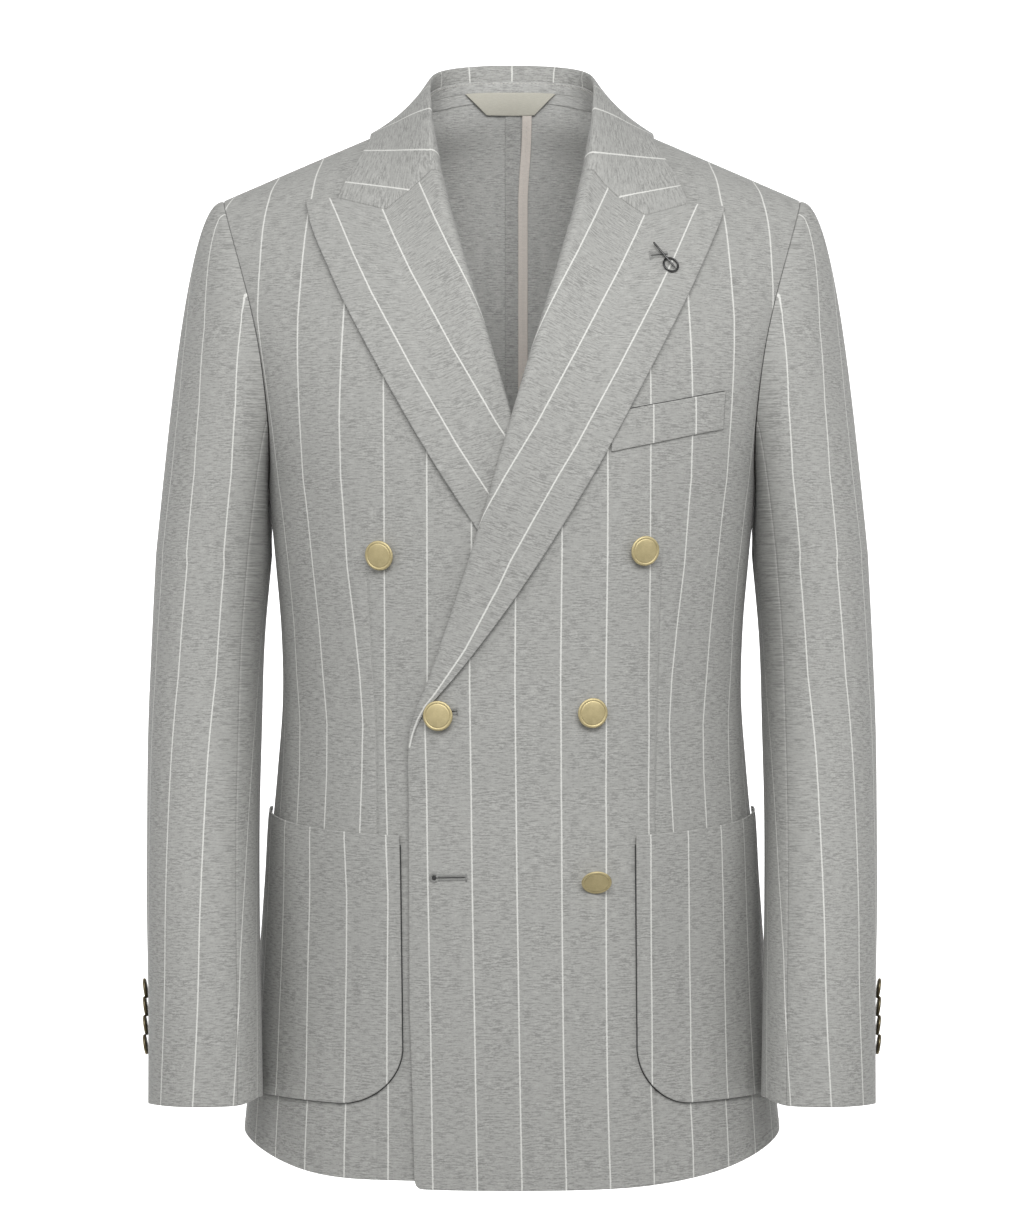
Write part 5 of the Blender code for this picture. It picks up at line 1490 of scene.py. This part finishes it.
def facing(point, normal, tilt=0.0):
    """Matrix that stands a piece on a point, its axis along the normal and tipped down."""
    normal = Vector(normal).normalized()
    side = Vector((0, 0, 1)).cross(normal).normalized()
    normal = Matrix.Rotation(math.radians(tilt), 3, side) @ normal
    up = normal.cross(side)
    turn = Matrix((side, up, normal)).transposed().to_4x4()
    return Matrix.Translation(Vector(point) * MM) @ turn


def antique_metal(name, bright, dull, roughness, grain=2600.0):
    """Tumbled metal: a fine grain, and broad patches that are duller or brighter."""
    metal = Finish(name)
    place = metal.node("ShaderNodeTexCoord", {}, {}, output=3)
    fine = metal.node("ShaderNodeTexNoise", {}, {"Vector": place, "Scale": grain, "Detail": 3.0})
    broad = metal.node("ShaderNodeTexNoise", {}, {"Vector": place, "Scale": 160.0, "Detail": 3.0})
    metal.feed("Base Color", metal.mix((fine * 0.5 + broad * 0.5).step(0.3, 0.7), rgb(dull), rgb(bright)))
    metal.feed("Roughness", broad * 0.16 + (roughness - 0.08))
    metal.constant(Metallic=1.0)
    metal.grain(fine, 0.3, 0.00004)
    return metal.material


BRASS = antique_metal("antique_brass", (0.69, 0.60, 0.36), (0.54, 0.46, 0.26), 0.6)

for button in BUTTONS:
    clear = RIM_RADIUS * math.sin(math.radians(button.tilt)) * RIM_SHARE
    point, normal = laid_on_front(button.side, [button.x], [button.z], clear)
    aside = button.side * (TURNED_OUT if button.tilt > HANGS else 1)
    place = facing(point[0] * (button.side, 1, 1), normal[0] * (aside, 1, 1), button.tilt)
    seat(turned(f"{button.name}_brass", FACE_PROFILE, BRASS, place), "matt_brass", button.name)

# --- Cuff buttons --------------------------------------------------------------------------
# Four small dark bronze buttons up the back seam of each sleeve, at the outside of the cuff.

CUFF_BUTTON_TILT = 8.0
CUFF_BUTTON_FIRST_Z, CUFF_BUTTON_STEP, CUFF_BUTTONS = -600.0, 11.2, 4
CUFF_BUTTON_RADIUS, CUFF_BUTTON_BACK = 7.0, 0.7  # the back of its rim stands off by the second
CUFF_FACE = [
    (0.0, 2.1), (3.8, 2.05), (5.2, 2.0), (5.7, 2.3), (6.2, 2.6), (6.7, 2.4), (7.0, 1.8),
    (6.8, 1.1), (6.2, 0.7), (0.0, 0.5),
]
BRONZE = antique_metal("dark_bronze", (0.30, 0.25, 0.15), (0.10, 0.08, 0.05), 0.4)

out = CUFF_BUTTON_RADIUS * math.sin(math.radians(CUFF_BUTTON_TILT)) - CUFF_BUTTON_BACK + LAYER
for side, word in WORDS.items():
    for i in range(CUFF_BUTTONS):
        z = CUFF_BUTTON_FIRST_Z - CUFF_BUTTON_STEP * i
        down = 2 - (z - SLEEVE[-1].z) / (SLEEVE[0].z - SLEEVE[-1].z)
        point = sleeve_surface(np.array([0.0]), np.array([down]))[0] + [out, 0, 0]
        place = facing(point * (side, 1, 1), (side, 0, 0), CUFF_BUTTON_TILT)
        node = f"cuff_button_{word}_{i + 1}"
        seat(turned(f"{node}_bronze", CUFF_FACE, BRONZE, place, steps=48), "dark_bronze", node)

# --- Lapel pin -----------------------------------------------------------------------------
# A plain ring that hangs on a plain straight pin, blackened steel, on the left lapel.

PIN_RING, PIN_WIRE = 5.2, 0.7
PIN_RING_PLACE = (107.3, -105.8)
PIN_STICK = [(95.5, -90.4), (111.0, -109.2)]
PIN_LIFT = 1.0
STEEL = antique_metal("blackened_steel", (0.12, 0.12, 0.12), (0.05, 0.05, 0.05), 0.35)

lift = LAPEL_LIFT + PIN_LIFT
point, normal = laid_on_front(1, *np.array([PIN_RING_PLACE]).T, lift)
bpy.ops.mesh.primitive_torus_add(
    major_radius=PIN_RING * MM, minor_radius=PIN_WIRE * MM, major_segments=64, minor_segments=14
)
ring = bpy.context.object
ring.name = ring.data.name = "pin_ring_steel"
ring.matrix_world = facing(point[0], normal[0])
lift += 2 * PIN_WIRE + LAYER
ends, _ = laid_on_front(1, *np.array(PIN_STICK).T, lift)
way = Vector(ends[1] - ends[0])
half_length = way.length / 2
STICK_PROFILE = [
    (0.0, half_length),
    (PIN_WIRE * 0.8, half_length - 0.3),
    (PIN_WIRE, half_length - 1.0),
    (PIN_WIRE, -half_length + 4.0),
    (PIN_WIRE * 0.3, -half_length + 0.4),
    (0.0, -half_length),
]
turn = way.to_track_quat("-Z", "Y").to_matrix().to_4x4()
place = Matrix.Translation(Vector(ends.mean(axis=0)) * MM) @ turn
stick = turned("pin_stick_steel", STICK_PROFILE, STEEL, place, steps=24)
ring.data.materials.append(STEEL)
ring.data.polygons.foreach_set("use_smooth", [True] * len(ring.data.polygons))
seat(ring, "dark_steel", "pin_ring")
seat(stick, "dark_steel", "pin_stick")

# --- Label and seam binding ----------------------------------------------------------------
# A bare satin label sewn under the neck band, and a beige tape that binds the allowance of
# the centre-back seam.

LABEL_TOP, LABEL_BOTTOM, LABEL_OFF = 33.0, 18.2, -1.2  # half widths, and how far off centre
LABEL_BOTTOM_Z, LABEL_BULGE = 16.7, 0.8
TAPE_X, TAPE_WIDTH, TAPE_LEAN = 4.5, 7.1, 3.3  # it leans aside towards the neck
TAPE_ROWS = 170
TAPE_LOW, TAPE_TOP, ALLOWANCE_TOP = 0.23, 16.35, 16.4  # levels of the back where they end
ALLOWANCE_X0, ALLOWANCE_X1, ALLOWANCE_WALL = -5.2, 6.5, 0.6
STAND_OFF = 0.4  # of both over the back, beyond a layer
LABEL_DEPTH = CLOTH + 3 * LAYER + TRIM_WALL
LABEL_LEVELS = (15.6, 17.0)  # of the back, between which its lower edge is looked for
LABEL_COLOUR, TAPE_COLOUR = (0.49, 0.475, 0.41), (0.66, 0.605, 0.555)


def tape_finish(name, colour, threads):
    """A woven tape: fine threads both ways and a soft sheen."""
    woven = Finish(name)
    grain = woven.noise(threads, threads * 1.6, detail=2.0)
    long_grain = woven.noise(threads * 0.12, threads * 1.2, detail=2.0, seed=4.0)
    shade = (grain * 0.5 + long_grain * 0.5).step(0.3, 0.7)
    woven.feed("Base Color", woven.mix(shade, rgb(tuple(c * 0.86 for c in colour)), rgb(colour)))
    woven.constant(Roughness=0.55, Sheen_Weight=0.1, Specular_IOR_Level=0.35)
    woven.grain(grain, 0.4, 0.0002)
    return woven.material


SATIN = tape_finish("label_satin", LABEL_COLOUR, 2400)
BINDING = tape_finish("seam_binding", TAPE_COLOUR, 1500)

share = np.linspace(-1, 1, 41)
x = share * LABEL_TOP + LABEL_OFF
at = np.interp(x, band[0, :, 0], np.arange(len(columns)))
hold, hold_out = (read_between(at, np.arange(len(columns)), row) for row in (band[0], band_out[0]))
hold += hold_out * (LAYER + TRIM_WALL) + [0, 0, 0.6]
x = share * LABEL_BOTTOM + LABEL_OFF
levels = np.linspace(*LABEL_LEVELS, 60)
trial = [inside_back(levels, np.full_like(levels, place), LABEL_DEPTH)[0] for place in x]
level = np.array([np.interp(LABEL_BOTTOM_Z, column[:, 2], levels) for column in trial])
hem, hem_out = inside_back(level, x, LABEL_DEPTH)
steps = np.linspace(0, 1, 14)[:, None, None]
points = hem + (hold - hem) * steps
inward = unit(hem_out + (hold_out - hem_out) * steps)
points += inward * np.sin(np.pi * steps) * LABEL_BULGE
weave = with_run(points[..., 0], points)
piece = cloth("label_cloth", points, inward, weave, wall=TRIM_WALL, folds=ALL_ROUND, outside=SATIN)
declare(piece, "label", slot="label_satin", held="laid", rests_on=["back_left_cloth", "back_right_cloth"])


def down_the_back(x0, x1, top_level, depth, lean):
    """A strip down the inside of the back: face, normals, weave."""
    x, level = np.meshgrid(np.linspace(x0, x1, 9), np.linspace(TAPE_LOW, top_level, TAPE_ROWS))
    middle_z = back_base(np.zeros(TAPE_ROWS), level[:, 0])[:, 2]
    x = x + lean * smooth(-45, 17, middle_z)[:, None]
    points, inward = inside_back(level.ravel(), x.ravel(), depth)
    points, inward = points.reshape(*x.shape, 3), inward.reshape(*x.shape, 3)
    return points, inward, with_run(x, points)


depth = CLOTH + LAYER + TRIM_WALL + STAND_OFF
tape = down_the_back(TAPE_X, TAPE_X + TAPE_WIDTH, TAPE_TOP, depth, TAPE_LEAN)
piece = cloth("seam_tape_cloth", *tape, wall=TRIM_WALL, folds=ALL_ROUND, outside=BINDING)
declare(piece, "seam_tape", slot="seam_binding", held="laid", rests_on=["back_left_cloth"])

# The allowance of the seam, pressed to the left back, which the tape binds.
ALLOWANCE = jersey("jersey_allowance", tuple(c * 0.9 for c in BACK_GREY), False)
strip = down_the_back(ALLOWANCE_X0, ALLOWANCE_X1, ALLOWANCE_TOP, CLOTH + LAYER + STAND_OFF, 0.0)
piece = cloth("allowance_cloth", *strip, wall=ALLOWANCE_WALL, folds=ALL_ROUND, outside=ALLOWANCE)
declare(piece, held="laid", rests_on=["back_left_cloth"])

# --- Sewing and painted shade --------------------------------------------------------------
# What the needle leaves: buttonholes worked in grey thread, the stitches of the hem, the neck
# band and the seam tape. Thin near-black tubes paint the shade in the buttonholes' openings,
# in the gap along the pockets' edges and in the welt's mouth.

THREAD_SIDES = 6
# Radii of threads, and of tubes of painted shade in openings, along pockets and at the welt.
WORKED, OPENING, CAUGHT, PALE_STITCH, POCKET_SHADE_LINE, WELT_MOUTH_SHADE = 0.27, 0.3, 0.24, 0.2, 0.42, 0.26  # radii
HEM_LINE = 0.165  # level of the front where its hem is caught


def thread(name, colour, roughness):
    finish = Finish(name)
    finish.constant(Base_Color=rgb(colour), Roughness=roughness)
    return finish.material


GREY_THREAD = thread("grey_thread", (0.29, 0.29, 0.28), 0.8)
PALE_THREAD = thread("pale_thread", (0.58, 0.56, 0.52), 0.7)
# A flat near-black finish that paints shade: buttonhole openings, pocket edges, the welt's mouth.
PAINTED_SHADE_FINISH = thread("painted_shade_lines", (0.045, 0.045, 0.045), 0.9)


def sewn_or_shaded(name, paths, radius, finish):
    """Round tubes along paths on the cloth, each closed at both ends: threads, or painted shade."""
    turn = np.linspace(0, 2 * np.pi, THREAD_SIDES, endpoint=False)[:, None]
    verts, faces, count = [], [], 0
    for path in paths:
        path = np.asarray(path, float)
        way = unit(np.gradient(path, axis=0))
        aside = unit(np.cross(way, [0.05, -1.0, 0.03]))[:, None]
        off = np.cross(aside, way[:, None])
        thick = np.full((len(path), 1, 1), radius)
        thick[[0, -1]] *= 0.45
        verts.append((path[:, None] + thick * (aside * np.cos(turn) + off * np.sin(turn))).reshape(-1, 3))
        ring = count + np.arange(THREAD_SIDES)
        after = np.roll(ring, -1)
        for i in range(len(path) - 1):
            low, high = i * THREAD_SIDES, (i + 1) * THREAD_SIDES
            faces += np.stack([ring + low, ring + high, after + high, after + low], axis=1).tolist()
        faces += [ring.tolist(), (ring + (len(path) - 1) * THREAD_SIDES)[::-1].tolist()]
        count += len(path) * THREAD_SIDES
    piece = build(name, (np.concatenate(verts) * MM).tolist(), faces, finish)
    seat(piece, "striped_jersey")


def dashes(path, pitch, share):
    """Stitches of this share of the pitch along a path."""
    run = lengths(path)
    starts = np.arange(pitch, run[-1] - pitch, pitch)
    return [at_shares(path, (start + np.linspace(0, share * pitch, 4)) / run[-1]) for start in starts]


def buttonhole(name, end, way, length, lift, eyelet):
    """A worked buttonhole from its bar, with an eyelet at its far end or none."""
    way = np.array(way) / math.hypot(*way)
    across = np.array([-way[1], way[0]])

    def on_cloth(paths, off):
        """Paths of places along and aside of the hole, laid on the cloth."""
        places = np.array(end) + np.concatenate(paths) @ np.array([way, across])
        laid = laid_on_front(1, places[:, 0], places[:, 1], lift + off)[0]
        return np.split(laid, np.cumsum([len(path) for path in paths])[:-1])

    def spoke(angle, reach):
        return np.array([[length + r * math.cos(angle), r * math.sin(angle)] for r in reach])

    last = length - 2.6 if eyelet else length
    stitches = [
        np.array([[along, aside * hand] for aside in (0.35, 1.3, 2.35)])
        for along in np.arange(0.5, last, 0.62)
        for hand in (-1, 1)
    ]
    # The slit and the eyelet's hole are painted shade, near-black tubes on the cloth.
    gap = [np.array([[along, 0] for along in np.linspace(0.3, length, 16)])]
    if eyelet:
        stitches += [spoke(angle, (1.7, 2.6, 3.6)) for angle in np.radians(np.arange(-130, 131, 13))]
        turn = np.linspace(0, 2 * np.pi, 15)
        gap += [np.concatenate([spoke(angle, (r,)) for angle in turn]) for r in (0.35, 0.85, 1.3)]
    bar = [np.array([[along, aside] for aside in (-3, -1, 1, 3)]) for along in (-0.55, 0.0)]
    sewn_or_shaded(f"{name}_stitches", on_cloth(stitches, 0) + on_cloth(bar, 0.2), WORKED, GREY_THREAD)
    sewn_or_shaded(f"{name}_opening", on_cloth(gap, 0.05), OPENING, PAINTED_SHADE_FINISH)


buttonhole("hip_buttonhole", (-30.6, -516.6), (-1, -0.025), 21.2, 0.15, True)
buttonhole("waist_buttonhole", (-36.5, -406.6), (-1, 0), 19.0, 0.15, True)
buttonhole("lapel_buttonhole", (93.5, -99.6), (1, 0.12), 12.0, LAPEL_LIFT + 0.15, False)

# The hem is sewn up blind: every few millimetres the needle catches the face.
for side, word in WORDS.items():
    start = lines_of(edge_share(np.array([HEM_LINE])))[0] + 0.03
    share = shares_of(np.linspace(start, 0.97, 120))
    level = np.full_like(share, HEM_LINE)
    line = front_surface(side, share, level, 0.05)
    if side < 0:
        line[:, 2] += hem_rise(line[:, 0], level)
    sewn_or_shaded(f"hem_stitches_{word}", dashes(line * (side, 1, 1), 4.4, 0.5), CAUGHT, GREY_THREAD)

# The band's upper edge and the middle of the tape are stitched in a pale thread.
line = band[-1] + band_out[-1] * 0.12 - [0, 0, 1.5]
sewn_or_shaded("band_stitches", dashes(line[4:-4], 2.9, 0.6), PALE_STITCH, PALE_THREAD)
middle = tape[0][:, 4] + tape[1][:, 4] * 0.12
sewn_or_shaded("tape_stitches", dashes(middle[2:-2], 3.0, 0.6), PALE_STITCH, PALE_THREAD)

# Painted shade: thin near-black tubes down the pockets' front edge and round the bottom, where
# the shadow gap under the edge falls, and in the welt's mouth and along its outer end.
for side, word in WORDS.items():
    face, normal, _ = POCKETS[side]
    face = face - normal * (POCKET_LIFT - 0.35)
    line = by_length(np.concatenate([face[::-1, 0], face[0, 1:]]), 260)
    sewn_or_shaded(f"pocket_seam_{word}", [line[4:-4] * (side, 1, 1)], POCKET_SHADE_LINE, PAINTED_SHADE_FINISH)
# The welt's mouth and its outer end, as tubes of painted shade.
mouth = welt_face[-1] - welt_out[-1] * 1.0 + [0, 0, 0.3]
end = welt_face[:, -1] - welt_out[:, -1] * 1.0 + [0.3, 0, 0]
sewn_or_shaded("welt_mouth_shade", [mouth, end], WELT_MOUTH_SHADE, PAINTED_SHADE_FINISH)
